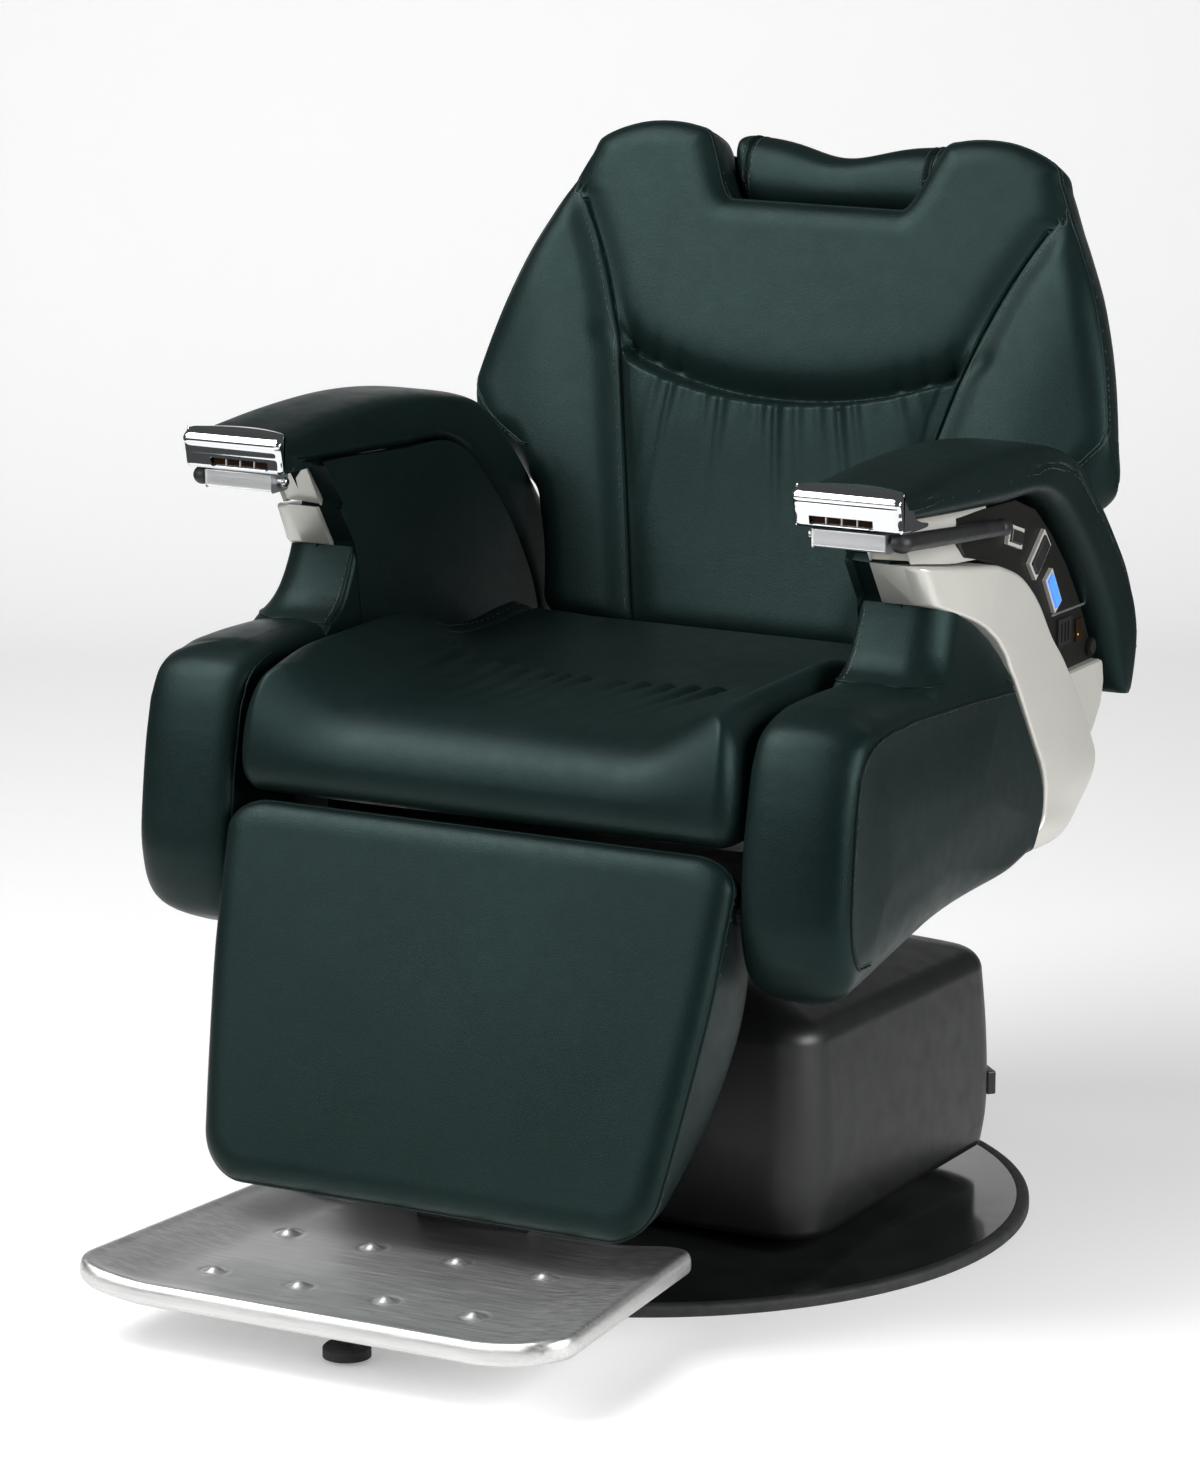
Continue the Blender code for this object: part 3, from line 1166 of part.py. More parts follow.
def build_back():
    def face(q, t, rim):
        x, u = back_plan(q, t)
        return back_point(x, u, BACK_RIM if rim else back_depth(q, t))

    def under(q, t, rim):
        x, u = back_plan(q * 0.97, 0.02 + 0.96 * t)
        return back_point(x, u, BACK_UNDER + (0.006 if rim else 0.0))

    columns = mirrored_columns((0.255, 0.305, 0.52, 0.60, 0.68, 0.93, 1.0))
    rows = (0.0, 0.05, 0.22, 0.305, 0.385, 0.45, 0.505, 0.57, 0.955, 1.0)
    mesh = pad_mesh("back_cushion", columns, rows, face, under)
    soften(hang("back_cushion", mesh, LEATHER, recline))

    layer_front = BACK_UNDER - GAP
    layer_rear = layer_front - BACK_LAYER
    board = hang(
        "back_frame",
        back_box("back_frame", BOARD_HALF_WIDTH, BACK_BOTTOM, BOARD_TOP, layer_rear, layer_front),
        STEEL, recline,
    )
    arm_outer = RAIL_INNER - BEARING_WIDTH - RUN_GAP
    arm_inner = BOARD_HALF_WIDTH - WELD_OVERLAP
    ear = SHAFT_RADIUS * 1.8
    arm = [
        *[(u, n) for n, u in arc((0.0, 0.0), ear, 180, 360)],
        (BACK_BOTTOM - SOFT_GAP * 4, ear), (BACK_BOTTOM - SOFT_GAP * 4, layer_front - GAP),
        (HINGE_ARM_TOP, layer_front - GAP), (HINGE_ARM_TOP, layer_rear + GAP), (-ear, layer_rear + GAP),
    ]
    points = [tuple(back_point(0.0, u, n)[1:]) for u, n in arm]
    for side, sign in (("left", 1), ("right", -1)):
        mesh = side_plate_mesh("arm", [points], arm_inner, arm_outer)
        weld(board, helper("back_hinge_arm_" + side, flipped(mesh, sign)))
    bore = rod_mesh("bore", (-RAIL_OUTER, RECLINE_Y, RECLINE_Z), (RAIL_OUTER, RECLINE_Y, RECLINE_Z),
                    SHAFT_RADIUS + GAP)
    cut(board, helper("back_hinge_bore", bore))
    shaft = rod_mesh("back_shaft", (-SHAFT_HALF_LENGTH, RECLINE_Y, RECLINE_Z),
                     (SHAFT_HALF_LENGTH, RECLINE_Y, RECLINE_Z), SHAFT_RADIUS)
    hang("back_shaft", shaft, BRIGHT_STEEL, recline)

    def shell_face(q, t, rim):
        x, u = back_plan(q * 0.95, 0.03 + 0.93 * t)
        return back_point(x, u, layer_front)

    def shell_under(q, t, rim):
        x, u = back_plan(q * 0.90, 0.07 + 0.85 * t)
        return back_point(x, u, layer_rear - BACK_SHELL * (0.35 if rim else 1.0))

    columns = mirrored_columns((0.27, 0.32, 0.72, 0.90, 1.0))
    rows = (0.0, 0.10, 0.31, 0.40, 0.50, 0.80, 0.92, 1.0)
    mesh = pad_mesh("back_shell", columns, rows, shell_face, shell_under)
    shell = hang("back_shell", mesh, SHELL_VINYL, recline)
    # The shell is a tray: pockets for the board with its hinge arms, and for the headrest's slide.
    front = layer_front + BACK_LAYER
    for name, half, top in (
        ("arm_pocket", arm_outer, HINGE_ARM_TOP), ("board_pocket", BOARD_HALF_WIDTH, BOARD_TOP),
        ("slide_pocket", GUIDE_HALF_WIDTH, 2 * BRACKET_TOP),
    ):
        pocket = back_box(name, half + SOFT_GAP, -BOARD_TOP, top + SOFT_GAP, layer_rear - SOFT_GAP, front)
        cut(shell, helper(name, pocket))
    return layer_front, layer_rear


def back_box(name, half_width, u_low, u_high, n_low, n_high):
    """A box in the back's own directions."""
    mesh = box_mesh(name, (-half_width, n_low, u_low), (half_width, n_high, u_high))
    lean = Matrix.Rotation(-RECLINE, 4, "X") @ Matrix.Scale(-1, 4, (0, 1, 0))
    mesh.transform(Matrix.Translation((0.0, RECLINE_Y, RECLINE_Z)) @ lean)
    mesh.flip_normals()
    return mesh


def build_headrest(layer_front, layer_rear):
    middle = (layer_front + layer_rear) / 2
    guide = hang(
        "headrest_guide",
        back_box("headrest_guide", GUIDE_HALF_WIDTH, BOARD_TOP + GAP, GUIDE_TOP, layer_rear + GAP,
                 layer_front - GAP),
        SWITCH_PLASTIC, recline,
    )
    slide = axis_empty("headrest_axis", tuple(back_point(0.0, BRACKET_BOTTOM, middle)), recline)
    bracket = hang(
        "headrest_bracket",
        back_box("headrest_bracket", GUIDE_HALF_WIDTH, BRACKET_BOTTOM, BRACKET_TOP, layer_rear + GAP,
                 layer_front - GAP),
        STEEL, slide,
    )
    for side, x in (("left", POST_SPREAD), ("right", -POST_SPREAD)):
        bore = rod_mesh("bore", back_point(x, BOARD_TOP - 0.02, middle),
                        back_point(x, GUIDE_TOP + 0.02, middle), POST_RADIUS + RUN_GAP, 16)
        cut(guide, helper("post_bore_" + side, bore))
        post = rod_mesh("post", back_point(x, POST_BOTTOM, middle),
                        back_point(x, (BRACKET_BOTTOM + BRACKET_TOP) / 2, middle), POST_RADIUS, 16)
        weld(bracket, helper("headrest_post_" + side, post))
    rings = []
    sides = 10
    for t in (-1.0, -0.93, -0.60, 0.0, 0.60, 0.93, 1.0):
        shrink = 0.82 if abs(t) == 1.0 else 1.0
        dip = PILLOW_DIP * (1 - t * t)
        ring = []
        for i in range(sides):
            a = 2 * math.pi * (i + 0.5) / sides
            up = math.copysign(abs(math.sin(a)) ** 0.75, math.sin(a))
            out = math.copysign(abs(math.cos(a)) ** 0.75, math.cos(a))
            u = PILLOW_U + shrink * PILLOW_HALF_HEIGHT * up - dip * max(up, 0.0)
            ring.append(back_point(t * PILLOW_HALF_WIDTH, u, PILLOW_N + shrink * PILLOW_HALF_DEPTH * out))
        rings.append(ring)
    soften(hang("headrest_pillow", loft_mesh("headrest_pillow", rings), LEATHER, slide))


LEG_SHELL = (
    (0.024, -LEG_PAD - GAP), (0.225, -LEG_PAD - GAP), (0.245, -LEG_PAD - 0.006),
    (0.200, 0.012 - LEG_PAD - LEG_REAR), (0.130, -LEG_PAD - LEG_REAR),
    (0.070, 0.004 - LEG_PAD - LEG_REAR), (0.024, 0.022 - LEG_PAD - LEG_REAR),
)


def build_legrest():
    def half_width(d):
        return LEG_HALF_WIDTH - LEG_TAPER * d / LEG_LENGTH

    def face(q, t, rim):
        d = -LEG_EDGE + (LEG_LENGTH + 2 * LEG_EDGE) * t
        crown = LEG_CROWN * (1 - q * q) * math.sin(math.pi * min(max(t, 0.0), 1.0))
        return leg_point(q * half_width(d), d, -0.008 if rim else crown)

    def under(q, t, rim):
        d = LEG_LENGTH * (0.012 + 0.976 * t)
        thin = 0.022 * smoothstep(0.75, 1.0, t)
        return leg_point(q * 0.90 * half_width(d), d, -LEG_PAD + thin + (0.012 if rim else 0.0))

    columns = mirrored_columns((0.5, 0.95, 1.0))
    rows = (0.0, 0.03, 0.30, 0.65, 0.96, 1.0)
    soften(hang("legrest_pad", pad_mesh("legrest_pad", columns, rows, face, under), LEATHER, legrest))

    plate_inner = RAIL_OUTER - LEG_PLATE_WIDTH
    ear_outer = plate_inner - GAP
    ear_inner = ear_outer - LEG_EAR_WIDTH
    back = LEG_PAD + GAP
    deep = LEG_PAD + LEG_REAR
    shell = [tuple(leg_point(0.0, d, n)[1:]) for d, n in LEG_SHELL]
    frame = hang("legrest_frame", side_plate_mesh("legrest_frame", [shell], -ear_inner + GAP, ear_inner - GAP),
                 LEATHER, legrest)
    pivot = Vector((LEG_AXIS_Y, LEG_AXIS_Z))
    ear = [
        *arc(pivot, LEG_EAR_RADIUS - GAP, 20, 180),
        *[tuple(leg_point(0.0, d, n)[1:]) for d, n in ((0.130, -back - 0.004), (0.130, -deep + 0.008),
                                                       (0.060, -deep + 0.014))],
    ]
    for side, sign in (("left", 1), ("right", -1)):
        mesh = side_plate_mesh("ear", [ear, circle(pivot, LEG_PIN_RADIUS + RUN_GAP, 16)],
                               ear_inner - 2 * GAP, ear_outer)
        weld(frame, helper("legrest_ear_" + side, flipped(mesh, sign)))


def build_footplate():
    """A cast plate, wider in front, with rounded corners, raised sides and round grip bumps."""
    edge = FOOT_THICKNESS / 3
    turns = [math.radians(a) for a in (6, 25, 45, 65, 90)]
    stations = [FOOT_FRONT + FOOT_CORNER * (1 - math.sin(a)) for a in reversed(turns)]
    stations += [FOOT_REAR - FOOT_REAR_CORNER * (1 - math.sin(a)) for a in turns]
    stations.sort()
    rings = []
    for y in stations:
        along = (y - FOOT_FRONT) / (FOOT_REAR - FOOT_FRONT)
        inset = sum(
            corner - math.sqrt(corner**2 - max(corner - near, 0.0) ** 2)
            for corner, near in ((FOOT_CORNER, y - FOOT_FRONT), (FOOT_REAR_CORNER, FOOT_REAR - y))
        )
        half = FOOT_HALF_WIDTH + (FOOT_REAR_HALF_WIDTH - FOOT_HALF_WIDTH) * along - inset
        round_off = max(edge - min(y - FOOT_FRONT, FOOT_REAR - y), 0.0) * 0.7
        top, low = FOOT_TOP - round_off, FOOT_TOP - FOOT_THICKNESS + round_off
        lip = FOOT_LIP
        right = [
            (FOOT_DISH * half, low), (half - edge, low + lip), (half, low + edge + lip - round_off),
            (half, top - edge + lip + round_off), (half - edge, top + lip), (FOOT_DISH * half, top),
        ]
        left = [(-x, z) for x, z in reversed(right)]
        rings.append([Vector((x, y, z)) for x, z in (*right, *left)])
    plate = hang("footplate", loft_mesh("footplate", rings), ALUMINIUM, legrest)
    bm = bmesh.new()
    for y in BUMP_ROWS:
        for i in range(4):
            place = Vector((BUMP_PITCH * (i - 1.5), y, FOOT_TOP + BUMP_HEIGHT / 2 - 0.001))
            bmesh.ops.create_cone(
                bm, cap_ends=True, segments=14, radius1=BUMP_RADIUS, radius2=BUMP_RADIUS * 0.55,
                depth=BUMP_HEIGHT + 0.002, matrix=Matrix.Translation(place),
            )
    weld(plate, helper("grip_bumps", mesh_from("grip_bumps", bm)))
    low = FOOT_TOP - FOOT_THICKNESS
    socket = rod_mesh("socket", (0.0, GLIDE_Y, low - 0.01), (0.0, GLIDE_Y, low + GLIDE_TRAVEL + 0.003),
                      STUD_RADIUS + RUN_GAP, 16)
    cut(plate, helper("stud_socket", socket))
    disc_top = GLIDE_BOTTOM + GLIDE_HEIGHT
    turned(
        "levelling_foot",
        [(0.0, low + 0.002), (STUD_RADIUS, low + 0.002), (STUD_RADIUS, disc_top),
         (GLIDE_RADIUS - 0.002, disc_top), (GLIDE_RADIUS, disc_top - 0.002),
         (GLIDE_RADIUS, GLIDE_BOTTOM), (0.0, GLIDE_BOTTOM)],
        RUBBER, glide, place=(0.0, 0.0), steps=24,
    ).location = (0.0, GLIDE_Y, 0.0)
    # A cast foot joins the plate to the legrest's rear shell.
    (toe_d, toe_n), (heel_d, heel_n) = LEG_SHELL[2:4]
    outline = [
        (FOOT_REAR - 0.060, FOOT_TOP + GAP), (FOOT_REAR - 0.011, FOOT_TOP + GAP),
        leg_point(0.0, heel_d + GAP, heel_n - GAP)[1:], leg_point(0.0, toe_d + GAP, toe_n - GAP)[1:],
    ]
    bracket = side_plate_mesh("footplate_bracket", [outline], -FOOT_BRACKET, FOOT_BRACKET)
    hang("footplate_bracket", bracket, STEEL, legrest)


build_floor()
build_cover()
build_turret()
build_seat_frame()
build_seat_cushion()
for chair_side, chair_sign in (("left", 1), ("right", -1)):
    build_side_panel(chair_side, chair_sign)
    build_arm_core(chair_side, chair_sign)
    build_arm_neck(chair_side, chair_sign)
    build_trim_band(chair_side, chair_sign)
    build_panel(chair_side, chair_sign)
    build_rear_cover(chair_side, chair_sign)
    build_arm_pad(chair_side, chair_sign)
    build_arm_cap(chair_side, chair_sign)
    build_lever(chair_side, chair_sign)
build_switches()
build_headrest(*build_back())
build_legrest()
build_footplate()
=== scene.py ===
"""Looks for the electric barber chair: upholstery, trim, controls, materials, light and camera.

Metres, +Z up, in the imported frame. The chair faces -Y and +X is the sitter's left.
"""

import math

import bmesh
import bpy
import numpy as np
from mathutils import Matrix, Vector
from mathutils.bvhtree import BVHTree
from mathutils.kdtree import KDTree


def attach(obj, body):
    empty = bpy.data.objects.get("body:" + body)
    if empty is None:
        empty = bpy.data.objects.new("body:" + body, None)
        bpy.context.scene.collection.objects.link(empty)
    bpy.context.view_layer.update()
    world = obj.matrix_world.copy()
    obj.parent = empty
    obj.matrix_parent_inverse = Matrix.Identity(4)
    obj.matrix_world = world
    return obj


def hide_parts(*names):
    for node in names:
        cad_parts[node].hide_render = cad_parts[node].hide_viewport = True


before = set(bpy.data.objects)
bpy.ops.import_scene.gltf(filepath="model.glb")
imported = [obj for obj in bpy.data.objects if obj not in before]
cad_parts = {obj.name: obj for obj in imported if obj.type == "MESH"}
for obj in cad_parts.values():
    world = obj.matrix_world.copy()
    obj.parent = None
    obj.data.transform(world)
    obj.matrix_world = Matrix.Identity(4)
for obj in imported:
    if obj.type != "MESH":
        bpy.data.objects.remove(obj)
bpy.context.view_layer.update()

# Shared places, as in the part's source
RECLINE_Y, RECLINE_Z, RECLINE = 0.235, 0.44, math.radians(20)
LEG_TOP_Y, LEG_TOP_Z, LEG_SLANT = -0.311, 0.402, math.radians(18.6)
ARM_INNER, SIDE_FACE, PAD_FACE = 0.2503, 0.348, 0.351
SIDES = {"left": 1.0, "right": -1.0}

# Camera, matched to the photograph
CAMERA_PLACE = (2.3728, -4.404, 1.5466)
CAMERA_AZIMUTH = math.radians(28.7775)
CAMERA_ELEVATION = math.radians(12.5912)
CAMERA_LENS, CAMERA_SENSOR = 139.8, 36.0

# Sewing: the threads, their distance from a seam, the piping's radii, and the spacing of a pad's rim points
STITCH_PITCH, STITCH_LENGTH, STITCH_RADIUS = 0.004, 0.0028, 0.00048
STITCH_GAP, WIDE_STITCH_GAP = 0.0046, 0.0048
BACK_CORD, PILLOW_CORD, LEG_CORD, SIDE_CORD, THIN_CORD = 0.0013, 0.0011, 0.0015, 0.0014, 0.0012
RIM_PITCH = 0.0006


# Curves and profiles

def smooth(low, high, value):
    """0 up to low, 1 from high on, and an even S between them."""
    t = np.clip((value - low) / (high - low), 0.0, 1.0)
    return t * t * (3 - 2 * t)


def bell(value, width):
    """1 at zero, falling away on both sides."""
    return np.exp(-(value / width) ** 2)


def between(low, high, t):
    """A place that goes from low, at t = -1, to high, at t = 1."""
    return low + (high - low) * (t + 1) / 2


def quarter(count):
    """Angles over a right angle."""
    return np.linspace(0.0, np.pi / 2, count)


def circle(count):
    """Angles once around, each one once."""
    return np.linspace(0.0, 2 * np.pi, count, endpoint=False)


def squarish(value, power):
    """A sine or cosine with its sign kept and its curve made fuller."""
    return np.sign(value) * np.abs(value) ** power


def run(points, steps=12):
    """A smooth run of points through the given ones."""
    p = np.asarray(points, float)
    p = np.vstack([2 * p[0] - p[1], p, 2 * p[-1] - p[-2]])
    t = np.linspace(0.0, 1.0, steps, endpoint=False)[:, None]
    parts = [
        0.5 * (2 * b + (c - a) * t + (2 * a - 5 * b + 4 * c - d) * t**2 + (3 * b - a - 3 * c + d) * t**3)
        for a, b, c, d in zip(p, p[1:], p[2:], p[3:])
    ]
    return np.vstack([*parts, p[-2:-1]])


def reader(points):
    """A smooth function through (key, value) pairs in rising order."""
    dense = run(points)
    return lambda key: np.interp(key, dense[:, 0], dense[:, 1])


def along_line(points):
    """How far along a line each of its points lies."""
    return np.r_[0.0, np.cumsum(np.linalg.norm(np.diff(points, axis=0), axis=1))]


def even(points, count):
    """Points spaced evenly along a line of points."""
    p = np.asarray(points, float)
    along = along_line(p)
    place = np.linspace(0.0, along[-1], count)
    return np.stack([np.interp(place, along, p[:, k]) for k in range(p.shape[1])], 1)


def outline(corners, count):
    """Points spaced evenly around a closed line."""
    return even([*corners, corners[0]], count)[:-1]


def leaning(x, up, out, foot_y, foot_z, lean):
    """Points by a leaning plane: up along it from its foot, and forward out of it."""
    x, up, out = np.broadcast_arrays(x, up, out)
    y = foot_y + up * math.sin(lean) - out * math.cos(lean)
    return np.stack([x, y, foot_z + up * math.cos(lean) + out * math.sin(lean)], -1)


def back_place(x, u, n):
    """Points of the back: u up along it from its hinge, n forward out of it."""
    return leaning(x, u, n, RECLINE_Y, RECLINE_Z, RECLINE)


def leg_place(x, d, n):
    """Points of the legrest: d down along its face from the top edge, n forward out of it."""
    return leaning(x, -d, n, LEG_TOP_Y, LEG_TOP_Z, LEG_SLANT)


# Meshes

def piece(name, points, faces, finish, body, slot, replaces=(), sharp=40):
    """A closed mesh as a piece of the chair that rides on a body."""
    mesh = bpy.data.meshes.new(name)
    mesh.from_pydata(np.asarray(points, float).tolist(), [], faces)
    bm = bmesh.new()
    bm.from_mesh(mesh)
    bmesh.ops.remove_doubles(bm, verts=bm.verts, dist=1e-6)
    bmesh.ops.recalc_face_normals(bm, faces=bm.faces[:])
    bm.to_mesh(mesh)
    bm.free()
    mesh.shade_smooth()
    mesh.set_sharp_from_angle(angle=math.radians(sharp))
    mesh.materials.append(finish)
    made = bpy.data.objects.new(name, mesh)
    bpy.context.scene.collection.objects.link(made)
    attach(made, body)
    if replaces:
        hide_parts(*replaces)
    return made


def quads(index, around=False):
    """Four-sided faces between the rows and columns of a grid of point numbers."""
    if around:
        index = np.c_[index, index[:, :1]]
    cells = np.stack([index[:-1, :-1], index[1:, :-1], index[1:, 1:], index[:-1, 1:]], -1)
    return cells.reshape(-1, 4).tolist()


def shell_of(front, rear):
    """Points and faces of a closed body made of two grids that share their rim."""
    wide, deep = front.shape[:2]
    index = np.arange(wide * deep).reshape(wide, deep)
    behind = index.copy()
    inner = rear[1:-1, 1:-1].reshape(-1, 3)
    behind[1:-1, 1:-1] = wide * deep + np.arange(len(inner)).reshape(wide - 2, deep - 2)
    return np.vstack([front.reshape(-1, 3), inner]), quads(index) + quads(behind[::-1])


def loft_of(rings):
    """Points and faces of closed rings joined in order, with both ends filled."""
    rings = np.asarray(rings, float)
    count, sides = rings.shape[:2]
    index = np.arange(count * sides).reshape(count, sides)
    faces = quads(index, around=True)
    return rings.reshape(-1, 3), faces + [index[0].tolist(), index[-1].tolist()]


def tube_of(path, radius, sides=8, closed=False):
    """Points and faces of a round tube along a path."""
    path = np.asarray(path, float)
    count = len(path)
    along = np.roll(path, -1, 0) - np.roll(path, 1, 0) if closed else np.gradient(path, axis=0)
    along /= np.linalg.norm(along, axis=1)[:, None] + 1e-12
    side = np.cross(along[0], (0.3, 0.5, 0.8))
    rings = []
    turn = circle(sides)
    radii = np.broadcast_to(radius, (count,))
    for i in range(count):
        side = side - along[i] * (side @ along[i])
        side /= np.linalg.norm(side) + 1e-12
        up = np.cross(along[i], side)
        rings.append(path[i] + radii[i] * (np.cos(turn)[:, None] * side + np.sin(turn)[:, None] * up))
    rings = np.asarray(rings)
    if closed:
        index = np.arange(count * sides).reshape(count, sides)
        return rings.reshape(-1, 3), quads(np.vstack([index, index[:1]]), around=True)
    return loft_of(rings)


def joined(parts):
    """Points and faces of several shapes as one."""
    points, faces, start = [], [], 0
    for some_points, some_faces in parts:
        points.append(some_points)
        faces += [[start + i for i in face] for face in some_faces]
        start += len(some_points)
    return np.vstack(points), faces


def tree_of(made):
    """A search tree over a piece, to lay seams on its surface."""
    mesh = made.data
    return BVHTree.FromPolygons([v.co.copy() for v in mesh.vertices], [list(p.vertices) for p in mesh.polygons])


def laid(tree, path):
    """A path put on the nearest surface, with the surface's outward direction."""
    found = [tree.find_nearest(Vector(point))[:2] for point in path]
    return np.array([place for place, _ in found]), np.array([normal for _, normal in found])


def sewn(tree, path):
    """Points and faces of short round-ended threads along a path laid on a surface."""
    places, outward = laid(tree, path)
    count = max(int(along_line(places)[-1] / STITCH_PITCH), 2)
    spots = even(np.hstack([places, outward]), count + 1)
    parts = []
    turn = circle(6)
    for a, b in zip(spots, spots[1:]):
        along = b[:3] - a[:3]
        along /= np.linalg.norm(along) + 1e-12
        up = a[3:] - along * (a[3:] @ along)
        up /= np.linalg.norm(up) + 1e-12
        side = np.cross(along, up)
        middle = (a[:3] + b[:3]) / 2 + up * STITCH_RADIUS * 0.3
        parts.append(loft_of([
            middle + along * STITCH_LENGTH / 2 * reach
            + STITCH_RADIUS * thick * (np.cos(turn)[:, None] * side + np.sin(turn)[:, None] * up)
            for reach, thick in ((-1.0, 0.35), (-0.8, 0.9), (0.0, 1.1), (0.8, 0.9), (1.0, 0.35))
        ]))
    return joined(parts)


def spread(zones, edge, middle):
    """Places from -1 to 1, closer together in the rounded zones at both ends."""
    low, high = zones
    turn = np.sin(quarter(edge + 1))[1:]
    return np.r_[
        (-(1 - low) - low * turn)[::-1], np.linspace(-(1 - low), 1 - high, middle + 1), 1 - high + high * turn
    ]


def rounded_plan(q, t, zones_q, zones_t):
    """Grid places with the square's corners drawn in to round ones."""
    def reach(value, zones):
        zone = np.where(value < 0, zones[0], zones[1])
        return zone, np.clip((np.abs(value) - 1 + zone) / zone, 0.0, 1.0)

    zone_q, over_q = reach(q, zones_q)
    zone_t, over_t = reach(t, zones_t)
    near_q = over_q * np.sqrt(1 - over_t**2 / 2)
    near_t = over_t * np.sqrt(1 - over_q**2 / 2)
    return (
        np.where(over_q > 0, np.sign(q) * (1 - zone_q + zone_q * near_q), q),
        np.where(over_t > 0, np.sign(t) * (1 - zone_t + zone_t * near_t), t),
    )


def distances(points, line):
    """How far each (a, b) point of a grid lies from the nearest point of a line."""
    tree = KDTree(len(line))
    for i, (a, b) in enumerate(line):
        tree.insert((a, b, 0.0), i)
    tree.balance()
    found = [tree.find((a, b, 0.0))[2] for a, b in points.reshape(-1, 2)]
    return np.array(found).reshape(points.shape[:-1])


def from_edge(across, up):
    """The distance of every grid point from the grid's own rim, in the plane."""
    points = np.stack([across, up], -1)
    rim = np.vstack([points[:, 0], points[-1, 1:], points[-2::-1, -1], points[0, -2::-1]])
    flat = distances(points, even(rim, max(int(along_line(rim)[-1] / RIM_PITCH), 50)))
    flat[0], flat[-1], flat[:, 0], flat[:, -1] = 0.0, 0.0, 0.0, 0.0
    return flat


def rounding(distance, radius, power=2.0):
    """0 on the rim, 1 from the radius inwards, round in between."""
    near = 1 - np.clip(distance / radius, 0.0, 1.0)
    return (1 - near**power) ** (1 / power)


def grid(zones_q, zones_t, steps_q, steps_t, edge):
    """A plain grid with rounded corners."""
    q, t = np.meshgrid(spread(zones_q, edge, steps_q), spread(zones_t, edge, steps_t), indexing="ij")
    return rounded_plan(q, t, zones_q, zones_t)


# Materials

def set_inputs(node, values):
    """Set a node's inputs; an underscore stands for a space in their names."""
    for label, value in values.items():
        node.inputs[label.replace("_", " ")].default_value = value


class Finish:
    """A Principled material, with helpers for the textures that feed it."""

    def __init__(self, name, colour, roughness, metallic=0.0, **sockets):
        self.made = bpy.data.materials.new(name)
        self.made.use_nodes = True
        self.nodes = self.made.node_tree.nodes
        self.links = self.made.node_tree.links
        self.shader = self.nodes["Principled BSDF"]
        set_inputs(self.shader, dict(sockets, Base_Color=(*colour, 1.0), Roughness=roughness, Metallic=metallic))
        self.place = self.node("TexCoord").outputs["Object"]
        self.normal = None

    def node(self, kind, links=(), **values):
        """A node with these values, and links from (input, socket) pairs."""
        made = self.nodes.new("ShaderNode" + kind)
        set_inputs(made, values)
        for label, socket in links:
            self.links.new(socket, made.inputs[label])
        return made

    def stretched(self, scale, turn=(0.0, 0.0, 0.0)):
        return self.node("Mapping", [("Vector", self.place)], Scale=scale, Rotation=turn).outputs["Vector"]

    def noise(self, scale, detail=3.0, rough=0.55, place=None):
        links = [("Vector", place or self.place)]
        return self.node("TexNoise", links, Scale=scale, Detail=detail, Roughness=rough).outputs["Fac"]

    def cells(self, scale):
        made = self.node("TexVoronoi", [("Vector", self.place)], Scale=scale)
        made.feature = "DISTANCE_TO_EDGE"
        return made.outputs["Distance"]

    def ranged(self, socket, low, high, to_low=0.0, to_high=1.0):
        made = self.node("MapRange", [("Value", socket)], From_Min=low, From_Max=high, To_Min=to_low, To_Max=to_high)
        return made.outputs["Result"]

    def product(self, first, second):
        made = self.node("Math", [(0, first), (1, second)])
        made.operation = "MULTIPLY"
        return made.outputs["Value"]

    def colours(self, socket, first, second, low=0.3, high=0.7):
        made = self.node("Mix", [(0, self.ranged(socket, low, high))])
        made.data_type = "RGBA"
        made.inputs[6].default_value = (*first, 1.0)
        made.inputs[7].default_value = (*second, 1.0)
        self.links.new(made.outputs[2], self.shader.inputs["Base Color"])

    def gloss(self, socket, to_low, to_high, low=0.3, high=0.7):
        self.links.new(self.ranged(socket, low, high, to_low, to_high), self.shader.inputs["Roughness"])

    def bump(self, socket, distance, strength):
        made = self.node("Bump", [("Height", socket)], Distance=distance, Strength=strength)
        if self.normal is not None:
            self.links.new(self.normal, made.inputs["Normal"])
        self.normal = made.outputs["Normal"]
        self.links.new(self.normal, self.shader.inputs["Normal"])


def leather(name, dark, light, roughness=0.35, grain=620.0):
    finish = Finish(name, light, roughness, Specular_IOR_Level=0.17, Specular_Tint=(0.6, 1.0, 0.95, 1.0))
    finish.colours(finish.noise(9.0, 4.0), dark, light)
    finish.gloss(finish.noise(60.0, 4.0), roughness - 0.04, roughness + 0.05)
    finish.bump(finish.noise(110.0, 3.0, 0.6), 0.0004, 0.25)
    pores = finish.ranged(finish.cells(grain), 0.0, 0.22)
    finish.bump(pores, 0.00014, 0.45)
    return finish.made


def silver_paint():
    finish = Finish("champagne_silver", (0.68, 0.67, 0.62), 0.36, 0.35, Coat_Weight=0.25, Coat_Roughness=0.14)
    finish.colours(finish.noise(2600.0, 1.0), (0.63, 0.62, 0.57), (0.72, 0.71, 0.66), 0.35, 0.65)
    finish.gloss(finish.noise(22.0, 3.0), 0.31, 0.38)
    finish.bump(finish.noise(700.0, 2.0), 0.00004, 0.25)
    return finish.made


def chrome():
    finish = Finish("chrome", (0.7, 0.71, 0.73), 0.07, 1.0)
    finish.gloss(finish.noise(35.0, 4.0), 0.04, 0.1, 0.35, 0.75)
    finish.bump(finish.noise(160.0, 2.0), 0.00003, 0.15)
    return finish.made


